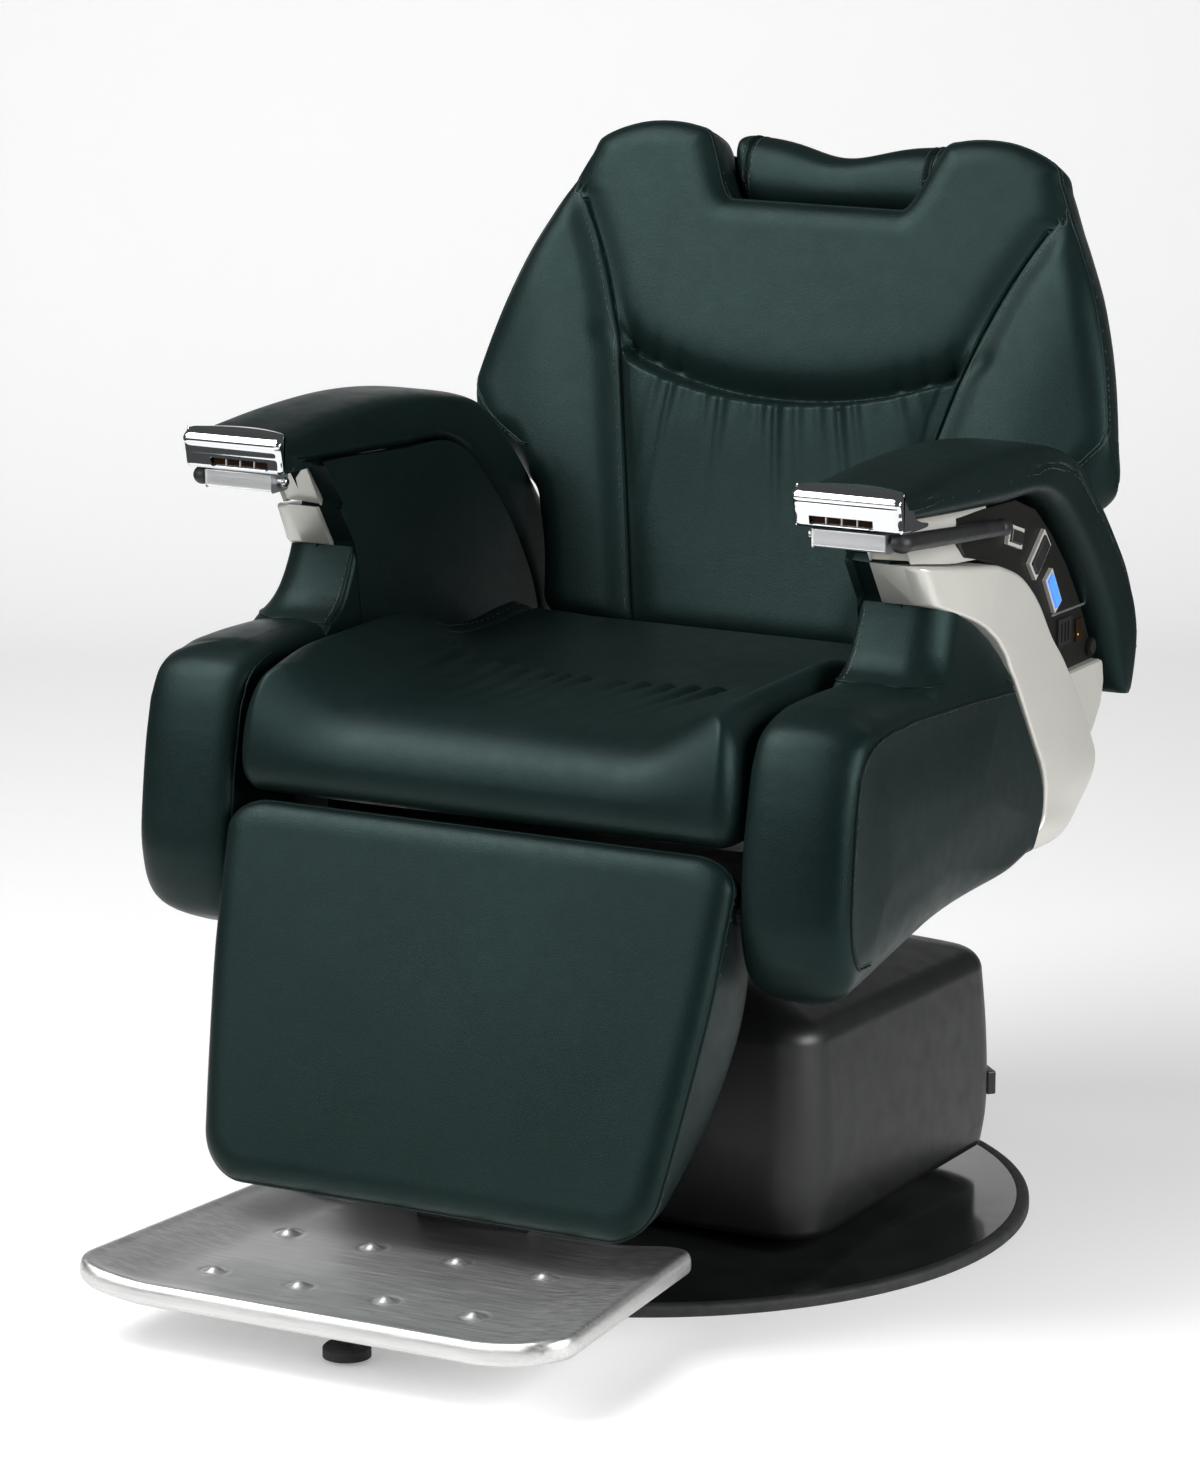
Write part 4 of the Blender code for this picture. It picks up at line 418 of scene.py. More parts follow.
def satin_chrome():
    finish = Finish("satin_chrome", (0.86, 0.87, 0.88), 0.4, 1.0)
    finish.gloss(finish.noise(1.0, 4.0, place=finish.stretched((8.0, 160.0, 160.0))), 0.36, 0.44)
    return finish.made


def brushed(name, colour, roughness, stretch, turn=(0.0, 0.0, 0.0), metallic=1.0, depth=0.00005):
    """Metal with brush lines along one direction, darker and brighter streaks, and handling marks."""
    finish = Finish(name, colour, roughness, metallic)
    lines = finish.noise(1.0, 5.0, 0.65, place=finish.stretched(stretch, turn))
    cloud = finish.noise(14.0, 4.0, 0.6)
    streaks = finish.product(finish.ranged(lines, 0.25, 0.75), finish.ranged(cloud, 0.25, 0.75, 0.55, 1.0))
    finish.colours(streaks, tuple(c * 0.68 for c in colour), colour, 0.0, 1.0)
    finish.gloss(lines, roughness - 0.06, roughness + 0.1)
    finish.bump(lines, depth, 0.5)
    return finish.made


def plastic(name, dark, light, roughness, grain=900.0, depth=0.00012):
    """Moulded plastic with a fine spark-eroded texture."""
    finish = Finish(name, light, roughness)
    finish.colours(finish.noise(30.0, 4.0), dark, light)
    finish.gloss(finish.noise(45.0, 3.0), roughness - 0.05, roughness + 0.05)
    finish.bump(finish.noise(grain, 2.0, 0.7), depth, 0.5)
    return finish.made


def gloss_black():
    finish = Finish("gloss_black", (0.01, 0.011, 0.011), 0.14,
                    Coat_Weight=0.12, Coat_Roughness=0.05, Specular_IOR_Level=0.3)
    finish.colours(finish.noise(26.0, 5.0), (0.008, 0.009, 0.009), (0.016, 0.017, 0.017), 0.35, 0.75)
    finish.gloss(finish.noise(12.0, 6.0, 0.7), 0.1, 0.22, 0.35, 0.75)
    finish.bump(finish.noise(240.0, 2.0), 0.00006, 0.2)
    return finish.made


def rubber():
    finish = Finish("black_rubber", (0.02, 0.021, 0.021), 0.72)
    finish.colours(finish.noise(70.0, 5.0), (0.014, 0.015, 0.015), (0.03, 0.031, 0.031))
    finish.gloss(finish.noise(90.0, 3.0), 0.64, 0.8)
    finish.bump(finish.noise(1300.0, 2.0), 0.0001, 0.5)
    return finish.made


def lamp(name, colour, glow, strength):
    finish = Finish(name, colour, 0.25, Emission_Strength=strength, Emission_Color=(*glow, 1.0))
    finish.colours(finish.noise(180.0, 2.0), tuple(c * 0.85 for c in colour), colour)
    finish.gloss(finish.noise(200.0, 2.0), 0.2, 0.3)
    return finish.made


LEATHER = leather("black_leather", (0.0044, 0.0096, 0.0092), (0.0066, 0.0138, 0.0131))
VINYL = leather("back_vinyl", (0.005, 0.0094, 0.009), (0.0076, 0.0132, 0.0126), 0.42, 480.0)
PIPING = leather("piping_leather", (0.003, 0.006, 0.0057), (0.0048, 0.009, 0.0085), 0.34, 900.0)
THREAD = plastic("waxed_thread", (0.016, 0.023, 0.022), (0.038, 0.052, 0.05), 0.5, 4000.0, 0.0001)
SILVER = silver_paint()
CHROME = chrome()
SATIN = satin_chrome()
ALUMINIUM = brushed("brushed_aluminium", (0.8, 0.8, 0.79), 0.38, (16.0, 420.0, 420.0), (0.0, 0.0, 0.12), 0.92)
PANEL = brushed("dark_brushed_metal", (0.042, 0.041, 0.038), 0.36, (1400.0, 1400.0, 50.0), (0.5, 0.0, 0.0), 0.75)
COVER = plastic("grey_plastic", (0.0066, 0.0071, 0.0071), (0.0098, 0.0104, 0.0104), 0.42, 700.0)
SWITCH = plastic("black_plastic", (0.01, 0.01, 0.011), (0.018, 0.018, 0.019), 0.42)
LEVER = plastic("lever_plastic", (0.01, 0.0105, 0.011), (0.017, 0.0175, 0.018), 0.48, 1100.0)
STEEL = plastic("painted_steel", (0.016, 0.016, 0.017), (0.026, 0.026, 0.027), 0.45, 300.0, 0.0003)
BRIGHT = brushed("bright_steel", (0.56, 0.56, 0.57), 0.2, (900.0, 900.0, 60.0))
GLOSS = gloss_black()
RUBBER = rubber()
BLUE = lamp("button_blue", (0.08, 0.27, 0.85), (0.05, 0.22, 0.95), 0.7)
SMOKED = plastic("smoked_window", (0.012, 0.005, 0.002), (0.03, 0.012, 0.004), 0.12, 60.0, 0.00005)
AMBER = lamp("amber_lamp", (0.95, 0.55, 0.05), (1.0, 0.6, 0.05), 2.2)

CARRIED = {
    "leather": LEATHER, "back_vinyl": VINYL, "silver": SILVER, "chrome": CHROME, "footplate_metal": ALUMINIUM,
    "cover_plastic": COVER, "base_gloss": GLOSS, "rubber": RUBBER, "panel_metal": PANEL,
    "switch_plastic": SWITCH, "steel": STEEL, "bright_steel": BRIGHT, "button_blue": BLUE,
    "smoked_window": SMOKED,
}


# Back

BACK_BOTTOM, BACK_SIDE_TOP, BACK_NOTCH, BACK_LOBE = 0.026, 0.49, 0.4385, 0.502
BACK_RIM, BACK_REAR, WING_TOP, SHELL_TAPER = 0.05, 0.002, 0.252, 0.925
SEAM_AT = 0.56  # share of the grid's width where the long seams run
FOLD_DEPTH, GATHER_DEPTH, GATHER_PITCH = 0.0175, 0.0019, 0.019
back_half = reader((
    (0.02, 0.212), (0.083, 0.222), (0.124, 0.234), (0.15, 0.246), (0.167, 0.282), (0.187, 0.318),
    (0.212, 0.33), (0.246, 0.3275), (0.31, 0.3135), (0.374, 0.2935), (0.42, 0.2735), (0.448, 0.2595),
    (0.474, 0.2475), (0.49, 0.2405),
))
back_seam = reader((
    (0.0, 0.108), (0.074, 0.126), (0.2, 0.156), (0.285, 0.1766), (0.353, 0.201), (0.39, 0.2185),
    (0.431, 0.242), (0.447, 0.256), (0.52, 0.285),
))


def back_top(x):
    """The top edge: a notch for the headrest between two round lobes that fall to the sides."""
    across = np.abs(x)
    rise = BACK_NOTCH + (BACK_LOBE - BACK_NOTCH) * smooth(0.088, 0.128, across)
    lobe = 0.007 * bell(across - 0.166, 0.046) * smooth(0.095, 0.15, across)
    return rise + lobe - 0.028 * (1 - np.sqrt(1 - np.clip((across - 0.182) / 0.062, 0.0, 0.97) ** 2))


def back_plan(q, t):
    """Grid places in the back's plane; a grid line runs along each long seam."""
    up = between(BACK_BOTTOM, BACK_SIDE_TOP, t)
    half = back_half(up)
    seam = np.minimum(back_seam(up), half - 0.01)
    reach = np.abs(q)
    x = np.where(reach < SEAM_AT, reach / SEAM_AT * seam, seam + (reach - SEAM_AT) / (1 - SEAM_AT) * (half - seam))
    x = np.sign(q) * x
    return x, up + smooth(0.6, 0.97, (t + 1) / 2) * (back_top(x) - BACK_SIDE_TOP)


def back_rim(x, u):
    """Where the rim stands; it falls back along the lower edge of each wing."""
    return BACK_RIM - 0.038 * smooth(0.235, 0.28, np.abs(x)) * (1 - smooth(0.196, 0.248, u))


def fold_line(x):
    return 0.2535 + 0.0365 * np.minimum(np.abs(x) / 0.176, 1.1) ** 2.1


def pleats(place, pitch, phase):
    """Rounded gathers, uneven in width and depth, from -1 to 1."""
    wander = 0.8 * np.sin(2 * np.pi * place / (4.3 * pitch) + phase)
    wander = wander + 0.4 * np.sin(2 * np.pi * place / (2.6 * pitch) + 2.1)
    size = 0.75 + 0.25 * np.sin(2 * np.pi * place / (3.1 * pitch) + 1.7 * phase)
    wave = np.sin(2 * np.pi * place / pitch + wander)
    return size * (wave - 0.22 * np.cos(2 * (2 * np.pi * place / pitch + wander)))


def back_face(x, u):
    """How far forward the upholstery stands, with its seams, its smile fold and the gathers there."""
    across = np.abs(x)
    off = across - back_seam(u)
    inside = 1 - smooth(-0.012, -0.001, off)
    depth = 0.06 + 0.006 * np.cos(np.clip(x / 0.34, -1, 1) * np.pi / 2)
    depth = depth + 0.007 * bell(off - 0.075, 0.06) * smooth(0.0, 0.03, off)
    depth = depth - 0.003 * bell(off, 0.0014) - 0.0042 * bell(off, 0.018)
    above = u - fold_line(x)
    tuck = np.where(above > 0, np.exp(-(np.clip(above, 0, 1) / 0.017) ** 1.35), bell(above, 0.0042))
    depth = depth - inside * FOLD_DEPTH * tuck
    below = np.clip(-above, 0, 1)
    depth = depth + inside * 0.008 * np.exp(-(below / 0.08) ** 2) * smooth(0.001, 0.012, -above)
    fan = x / (1 + 1.8 * np.clip(below, 0, 0.2)) - 0.1 * below
    reach = 0.04 + 0.018 * np.sin(2 * np.pi * fan / 0.061 + 0.8) + 0.012 * np.sin(2 * np.pi * fan / 0.171 + 0.6)
    fade = np.exp(-(below / np.maximum(reach, 0.012)) ** 1.2) * smooth(0.0, 0.007, -above)
    fade = fade * (1 - 0.8 * smooth(0.09, 0.165, across))
    depth = depth + inside * GATHER_DEPTH * pleats(fan, GATHER_PITCH, 0.7) * fade
    pinch = np.exp(-(np.clip(above, 0, 1) / 0.016) ** 1.3) * smooth(0.0, 0.005, above) * smooth(0.08, 0.125, across)
    depth = depth - inside * 0.0042 * bell(np.mod(across + 0.004, 0.026) - 0.013, 0.0042) * pinch
    dimple = bell(np.hypot(off - 0.014, above - 0.002), 0.012)
    return depth - 0.0026 * dimple


def build_back():
    near = np.array((0.0, 0.0022, 0.0048, 0.008, 0.012))
    fine_q = np.r_[SEAM_AT + near, SEAM_AT - near[1:]]
    q = np.unique(np.round(np.r_[spread((0.15, 0.15), 20, 180), fine_q, -fine_q], 5))
    fold = (np.arange(0.242, 0.304, 0.0009) - BACK_BOTTOM) / (BACK_SIDE_TOP - BACK_BOTTOM) * 2 - 1
    t = np.unique(np.round(np.r_[spread((0.1, 0.14), 18, 120), fold], 5))
    q, t = rounded_plan(*np.meshgrid(q, t, indexing="ij"), (0.15, 0.15), (0.1, 0.14))
    x, u = back_plan(q, t)
    edge = from_edge(x, u)
    rim = back_rim(x, u)
    front = back_place(x, u, rim + (back_face(x, u) - rim) * rounding(edge, 0.027 + 0.7 * (BACK_RIM - rim), 2.1))
    wall = rounding(edge, 0.009, 2.6)
    rear = back_place(x * (1 - 0.017 * wall), u, rim - (rim - BACK_REAR) * wall)
    cushion = piece("back_upholstery", *shell_of(front, rear), LEATHER, "backrest", "leather", ("back_cushion",))

    tree = tree_of(cushion)
    threads = []
    for sign in (1, -1):
        up = np.linspace(0.04, 0.455, 120)
        threads.append(sewn(tree, back_place(sign * (back_seam(up) + STITCH_GAP), up, 0.07)))
    rim_plan = np.stack([x, u], -1)
    side = rim_plan[-1]
    top_edge = rim_plan[::-1, -1]
    far_side = rim_plan[0, ::-1]
    line = np.vstack([side[side[:, 1] > WING_TOP], top_edge, far_side[far_side[:, 1] > WING_TOP]])
    corner = np.array(((0.25, 0.19), (0.278, 0.202), (0.304, 0.219), (0.32, 0.237)))
    line = even(np.vstack([corner, line, corner[::-1] * (-1, 1)]), 620)
    rim_path, _ = laid(tree, back_place(line[:, 0], line[:, 1], BACK_RIM + 0.004))
    behind = rim_path + np.array((0.0, math.cos(RECLINE), -math.sin(RECLINE))) * STITCH_GAP
    threads.append(sewn(tree, behind))
    piece("back_stitches", *joined(threads), THREAD, "backrest", "leather")
    cords = [rim_path]
    for sign in (1, -1):
        tip = back_place(sign * np.array((0.322, 0.33)), np.array((0.246, 0.205)), 0.02)
        cords.append(laid(tree, even(tip, 24))[0])
    piece("back_piping", *joined([tube_of(cord, BACK_CORD) for cord in cords]), PIPING, "backrest", "leather")

    q, t = grid((0.12, 0.12), (0.12, 0.16), 80, 80, 10)
    x, u = back_plan(q * 0.985, -0.985 + (t + 1) * 0.962)
    x = x * SHELL_TAPER
    edge = from_edge(x, u)
    crown = np.cos(np.clip(x / 0.4, -1, 1) * np.pi / 2)
    depth = 0.0022 - (0.054 + 0.014 * crown) * rounding(edge, 0.1, 1.5)
    outer = back_place(x, u, depth)
    inner = back_place(x, u, depth + np.minimum(edge, 0.0035))
    cover = piece("back_shell_cover", *shell_of(inner, outer), VINYL, "backrest", "back_vinyl", ("back_shell",))
    tree = tree_of(cover)
    threads = []
    for sign in (1, -1):
        up = np.linspace(0.06, 0.44, 110)
        threads.append(sewn(tree, back_place(sign * (0.62 * back_half(up)), up, -0.2)))
    piece("back_shell_stitches", *joined(threads), THREAD, "backrest", "back_vinyl")


PILLOW_HALF, PILLOW_END, PILLOW_SEAM, PILLOW_GAP = 0.111, 0.012, 0.0935, 0.0045
PILLOW_TOP, PILLOW_DIP, PILLOW_DEPTH, PILLOW_AT = 0.5125, 0.0165, 0.036, -0.009


def build_headrest():
    """A short roll that fits the notch, with a dip in its top and a welted seam near each end."""
    turn = circle(72)
    up, out = squarish(np.sin(turn), 0.8), squarish(np.cos(turn), 0.8)
    flat = PILLOW_HALF - PILLOW_END
    cap = flat + PILLOW_END * np.sin(quarter(10))[1:]
    rings = []
    for x in np.r_[-cap[::-1], np.linspace(-flat, flat, 81), cap]:
        over = max(abs(x) - flat, 0.0) / PILLOW_END
        shrink = 1.0 - 0.34 * (1 - math.sqrt(max(1 - over**2, 0.0)))
        seam = 0.0018 * math.exp(-((abs(x) - PILLOW_SEAM) / 0.0018) ** 2)
        low = float(back_top(x)) + 0.002
        high = PILLOW_TOP - PILLOW_DIP * math.exp(-(x / 0.052) ** 2)
        half = (high - low) / 2
        rings.append(back_place(
            x, (high + low) / 2 + (half * shrink - seam) * up, PILLOW_AT + (PILLOW_DEPTH * shrink - seam) * out,
        ))
    pillow = piece("headrest_upholstery", *loft_of(rings), LEATHER, "headrest", "leather", ("headrest_pillow",))
    tree = tree_of(pillow)
    loops, threads = [], []
    around = circle(90)

    def ring_at(x):
        return back_place(x, 0.478 + 0.05 * np.sin(around), -0.01 + 0.05 * np.cos(around))

    for sign in (1, -1):
        loops.append(tube_of(laid(tree, ring_at(sign * PILLOW_SEAM))[0], PILLOW_CORD, 6, closed=True))
        for gap in (PILLOW_GAP, -PILLOW_GAP):
            ring = ring_at(sign * (PILLOW_SEAM + gap))
            threads.append(sewn(tree, np.vstack([ring, ring[:1]])))
    piece("headrest_welts", *joined(loops), PIPING, "headrest", "leather")
    piece("headrest_stitches", *joined(threads), THREAD, "headrest", "leather")


# Seat

SEAT_FRONT, SEAT_REAR, SEAT_HALF, SEAT_RIM, SEAT_SEAM = -0.303, 0.176, 0.2465, 0.442, 0.8
SEAT_FLOOR, SEAT_STEP, FOLD_FRONT, FOLD_REAR, BOLSTER = 0.4125, 0.0135, 0.4995, 0.49, 0.044
CREASE_DEPTH, CREASE_PITCH = 0.0052, 0.025


def seat_fold(x):
    return -0.0735 + 0.044 * (np.abs(x) / 0.2) ** 2


def seat_top(x, y):
    """The seat's top: front roll, side bolsters, rear panel, and gathers along the fold between them."""
    side = np.abs(x) / SEAT_HALF
    behind = y - seat_fold(x)
    ahead = np.clip(-behind, 0, 1)
    bolster = BOLSTER * smooth(0.52, 1.0, side) * (1 - 0.8 * smooth(-0.09, 0.1, y))
    inside = 1 - smooth(0.66, 0.92, side)
    front = FOLD_FRONT - 0.02 * ahead
    blend = smooth(0.0, 0.01, ahead) * inside + smooth(-0.04, 0.04, -behind) * (1 - inside)
    rear = FOLD_REAR + 0.011 * smooth(0.02, 0.16, behind)
    height = rear + (front - rear) * blend + bolster
    height = height - inside * 0.005 * bell(behind, 0.005)
    groove = smooth(0.0, 0.05, behind)
    height = height - (0.0012 * bell(side - SEAT_SEAM, 0.008) + 0.003 * bell(side - SEAT_SEAM, 0.1)) * groove
    fan = x * (1 + 0.5 * np.clip(ahead, 0, 0.2)) + 0.06 * ahead
    reach = 0.074 + 0.022 * np.sin(2 * np.pi * fan / 0.083 + 0.5)
    fade = np.exp(-(ahead / reach) ** 1.6) * smooth(0.0, 0.012, ahead) * (1 - smooth(0.6, 0.86, side))
    wander = 0.5 * np.sin(2 * np.pi * fan / 0.113 + 1.9) + 0.3 * np.sin(2 * np.pi * fan / 0.067 + 2.1)
    crease = np.abs(np.sin(np.pi * fan / CREASE_PITCH + wander))
    return height + CREASE_DEPTH * (crease - 0.62) * fade


def build_seat():
    fold = (np.arange(-0.092, -0.03, 0.0011) - SEAT_FRONT) / (SEAT_REAR - SEAT_FRONT) * 2 - 1
    t = np.unique(np.round(np.r_[spread((0.13, 0.06), 16, 130), fold], 5))
    near = np.arange(-0.016, 0.017, 0.004)
    seams = np.r_[SEAT_SEAM + near, -SEAT_SEAM - near]
    q = np.unique(np.round(np.r_[spread((0.09, 0.09), 14, 190), seams], 5))
    q, t = rounded_plan(*np.meshgrid(q, t, indexing="ij"), (0.09, 0.09), (0.13, 0.06))
    x = q * (SEAT_HALF - 0.003 * np.sin(np.pi * (t + 1) / 2))
    y = between(SEAT_FRONT, SEAT_REAR, t)
    edge = from_edge(x, y)
    nearer = smooth(-0.08, 0.08, SEAT_HALF - np.abs(x) - (y - SEAT_FRONT))
    top = SEAT_RIM + (seat_top(x, y) - SEAT_RIM) * rounding(edge, 0.032 + 0.044 * nearer, 2.05)
    floor_z = SEAT_FLOOR + SEAT_STEP * smooth(-0.15, -0.128, y)
    low = SEAT_RIM - (SEAT_RIM - floor_z) * rounding(edge, 0.026, 2.3)
    cushion = piece("seat_upholstery", *shell_of(np.stack([x, y, top], -1), np.stack([x, y, low], -1)),
                    LEATHER, "seat", "leather", ("seat_cushion",))
    tree = tree_of(cushion)
    paths = []
    for sign in (1, -1):
        y = np.linspace(-0.01, 0.16, 70)
        paths.append(np.stack([sign * 0.202 + 0 * y, y, 0.55 + 0 * y], 1))
        y = np.linspace(-0.235, 0.15, 120)
        paths.append(np.stack([sign * 0.3 + 0 * y, y, 0.478 + 0 * y], 1))
    piece("seat_stitches", *joined([sewn(tree, path) for path in paths]), THREAD, "seat", "leather")


# Legrest and footplate

LEG_FROM, LEG_TO, LEG_RIM = -0.01, 0.3185, -0.014
leg_half = reader((
    (-0.03, 0.25), (0.01, 0.248), (0.054, 0.246), (0.124, 0.2415), (0.21, 0.2315), (0.27, 0.2235),
    (0.34, 0.213),
))
leg_rear = reader((
    (-0.03, -0.034), (0.0, -0.046), (0.035, -0.076), (0.075, -0.098), (0.125, -0.106), (0.185, -0.098),
    (0.24, -0.076), (0.285, -0.049), (0.312, -0.026), (0.34, -0.016),
))


def build_legrest():
    """A wedge: flat padded face with rolled edges, and side boxing that is deepest under the knee."""
    q, t = grid((0.17, 0.17), (0.17, 0.24), 110, 110, 16)
    d = between(LEG_FROM, LEG_TO, t)
    x = q * leg_half(d)
    edge = from_edge(x, d)
    crown = 0.0035 * np.cos(q * np.pi / 2) * np.sin(np.pi * np.clip((t + 1) / 2, 0, 1))
    front = leg_place(x, d, LEG_RIM + (crown - LEG_RIM) * rounding(edge, 0.024, 2.1))
    wall = rounding(edge, 0.013, 2.8)
    rear = leg_place(x * (1 - 0.026 * wall), d, LEG_RIM + (leg_rear(d) - LEG_RIM) * wall)
    pad = piece("legrest_upholstery", *shell_of(front, rear), LEATHER, "legrest", "leather",
                ("legrest_pad", "legrest_frame"))
    tree = tree_of(pad)
    rim_path = np.vstack([front[:, 0], front[-1, 1:], front[-2::-1, -1], front[0, -2:0:-1]])
    ring = even(np.vstack([rim_path, rim_path[:1]]), 420)
    piece("legrest_piping", *tube_of(ring[:-1], LEG_CORD, closed=True), PIPING, "legrest", "leather")
    behind = ring + np.array((0.0, math.cos(LEG_SLANT), -math.sin(LEG_SLANT))) * WIDE_STITCH_GAP
    piece("legrest_stitches", *sewn(tree, behind), THREAD, "legrest", "leather")


def build_bracket():
    """The bent plate that carries the footplate from behind the legrest."""
    shape = even(run([
        (-0.314, 0.056), (-0.306, 0.055), (-0.3, 0.058), (-0.296, 0.1), (-0.296, 0.145), (-0.31, 0.172),
        (-0.328, 0.166), (-0.318, 0.14), (-0.31, 0.1), (-0.312, 0.07), (-0.314, 0.056),
    ], 6), 90)[:-1]
    piece("footplate_arm", *slab_of(shape, -0.055, 0.055, 0.0015, 0.0015), STEEL, "legrest", "steel",
          ("footplate_bracket",))


FOOT_FRONT, FOOT_REAR, FOOT_HALF_FRONT, FOOT_HALF_REAR = -0.592, -0.302, 0.24, 0.215
FOOT_MIDDLE, FOOT_SIDES, FOOT_TOP, FOOT_UNDER = 0.049, 0.0085, 0.0103, 0.0085
GRIP_ROWS, GRIP_COUNT, GRIP_PITCH, GRIP_RADIUS, GRIP_HEIGHT = (-0.528, -0.4095), 4, 0.084, 0.0104, 0.004


def build_footplate():
    """Cast plate: dished top with raised sides, a thick rolled edge and domed grip bumps."""
    q, t = grid((0.19, 0.19), (0.28, 0.12), 230, 150, 16)
    y = between(FOOT_FRONT, FOOT_REAR, t)
    half = FOOT_HALF_FRONT + (FOOT_HALF_REAR - FOOT_HALF_FRONT) * (y - FOOT_FRONT) / (FOOT_REAR - FOOT_FRONT)
    x = q * half
    edge = from_edge(x, y)
    rise = FOOT_SIDES * smooth(half - 0.085, half, np.abs(x))
    lip = 0.0012 * bell(edge - 0.006, 0.006)
    bumps = np.zeros_like(x)
    for row in GRIP_ROWS:
        for i in range(GRIP_COUNT):
            away = np.hypot(x - GRIP_PITCH * (i - (GRIP_COUNT - 1) / 2), y - row)
            bumps = bumps + GRIP_HEIGHT * (1 - smooth(0.001, GRIP_RADIUS, away))
            bumps = bumps - 0.0006 * bell(away - 0.0122, 0.0018)
    strip = 0.0007 * smooth(0.0, 0.001, 0.046 - np.abs(x - 0.004)) * smooth(0.0, 0.001, 0.0042 - np.abs(y + 0.5595))
    mid = FOOT_MIDDLE + rise
    top = mid + (FOOT_TOP + lip) * rounding(edge, 0.005, 2.3) + bumps + strip
    low = mid - FOOT_UNDER * rounding(edge, 0.006, 2.3) - 0.01 * smooth(0.016, 0.05, edge)
    piece("footplate_casting", *shell_of(np.stack([x, y, top], -1), np.stack([x, y, low], -1)),
          ALUMINIUM, "legrest", "footplate_metal", ("footplate",))


# Base

def turned_of(profile, steps=144):
    """Points and faces of a closed profile of (radius, height) points, turned about Z."""
    profile = np.asarray(profile, float)
    turn = circle(steps)
    rings = np.stack([
        profile[:, 0] * np.cos(turn)[:, None], profile[:, 0] * np.sin(turn)[:, None],
        np.broadcast_to(profile[:, 1], (steps, len(profile))),
    ], -1)
    index = np.arange(rings.shape[0] * rings.shape[1]).reshape(rings.shape[:2])
    return rings.reshape(-1, 3), quads(np.vstack([index, index[:1]]), around=True)


DISC_RADIUS, DISC_FLAT, DISC_TOP, DISC_EDGE = 0.3385, 0.1, 0.028, 0.01


def build_base():
    """The domed floor plate and the rubber strip around its edge."""
    t = np.linspace(0.0, 1.0, 22)
    dome = np.stack([
        DISC_FLAT + (DISC_RADIUS - DISC_FLAT) * t, DISC_EDGE + (DISC_TOP - DISC_EDGE) * np.cos(t * np.pi / 2) ** 1.3,
    ], 1)
    profile = np.vstack([(0.004, DISC_TOP), (0.05, DISC_TOP), dome, (DISC_RADIUS, 0.0), (0.05, 0.0), (0.004, 0.0)])
    piece("base_disc", *turned_of(profile), GLOSS, "base", "base_gloss", ("base_plate",))
    a = quarter(7)
    lip = np.stack([0.346 + 0.004 * np.sin(a), 0.0065 + 0.004 * np.cos(a)], 1)
    profile = np.vstack([(0.3388, 0.0), (0.3388, 0.0098), (0.34, 0.0105), lip, (0.35, 0.0012), (0.3488, 0.0)])
    piece("base_edge_strip", *turned_of(profile), RUBBER, "base", "rubber", ("base_edge_trim",))


def rounded_box(left, right, front, rear, radius, steps=12):
    points = []
    for x, y, first in ((right, rear, 0), (left, rear, 90), (left, front, 180), (right, front, 270)):
        a = np.radians(np.linspace(first, first + 90, steps + 1))
        cx = x - radius if x == right else x + radius
        cy = y - radius if y == rear else y + radius
        points.append(np.stack([cx + radius * np.cos(a), cy + radius * np.sin(a)], 1))
    return np.vstack(points)


COVER_HALF, COVER_FRONT, COVER_REAR, COVER_CORNER = 0.25, -0.16, 0.234, 0.046
COVER_LOW, COVER_WAIST, COVER_SHOULDER, COVER_TOP = 0.034, 0.088, 0.206, 0.246
COVER_HOLE, COVER_WALL = 0.0585, 0.0038


def build_cover():
    """Moulded base cover: barrelled sides, a soft shoulder and a crowned top that rises to the lift."""
    def ring(inwards, z, tilt):
        half, front, rear = COVER_HALF - inwards, COVER_FRONT + inwards, COVER_REAR - inwards
        points = rounded_box(-half, half, front, rear, max(COVER_CORNER - inwards, 0.012))
        return np.c_[points, z - tilt * (points[:, 1] - COVER_FRONT) / (COVER_REAR - COVER_FRONT)]

    rings = []
    for z in np.linspace(COVER_LOW, COVER_SHOULDER, 26):
        end = COVER_LOW if z < COVER_WAIST else COVER_SHOULDER
        barrel = 0.006 * ((z - COVER_WAIST) / (end - COVER_WAIST)) ** 2
        rings.append(ring(barrel, z, 0.01 * smooth(0.09, COVER_SHOULDER, z)))
    for angle in np.radians(np.linspace(0, 72, 11))[1:]:
        rings.append(ring(0.006 + 0.026 * (1 - math.cos(angle)), COVER_SHOULDER + 0.022 * math.sin(angle), 0.01))
    sides = len(rings[0])
    last = rings[-1]
    around = np.arctan2(last[:, 1], last[:, 0])
    hole = np.stack([COVER_HOLE * np.cos(around), COVER_HOLE * np.sin(around), np.full(sides, COVER_TOP)], 1)
    for t in np.linspace(0.04, 1.0, 18):
        middle = last * (1 - t) + hole * t
        middle[:, 2] += 0.01 * np.sin(np.pi * t) ** 0.9
        rings.append(middle)
    points = np.vstack(rings)
    index = np.arange(len(points)).reshape(len(rings), sides)
    cover = piece("base_cover_moulding", points, quads(index, around=True), COVER, "turret", "cover_plastic",
                  ("base_cover",))
    wall = cover.modifiers.new("wall", "SOLIDIFY")
    wall.thickness = COVER_WALL
    wall.offset = -1.0


# Arms, as (y, z) lines of the left one; BAND_FACE has the band's x along it, SEAM_HEIGHT the pad's seam

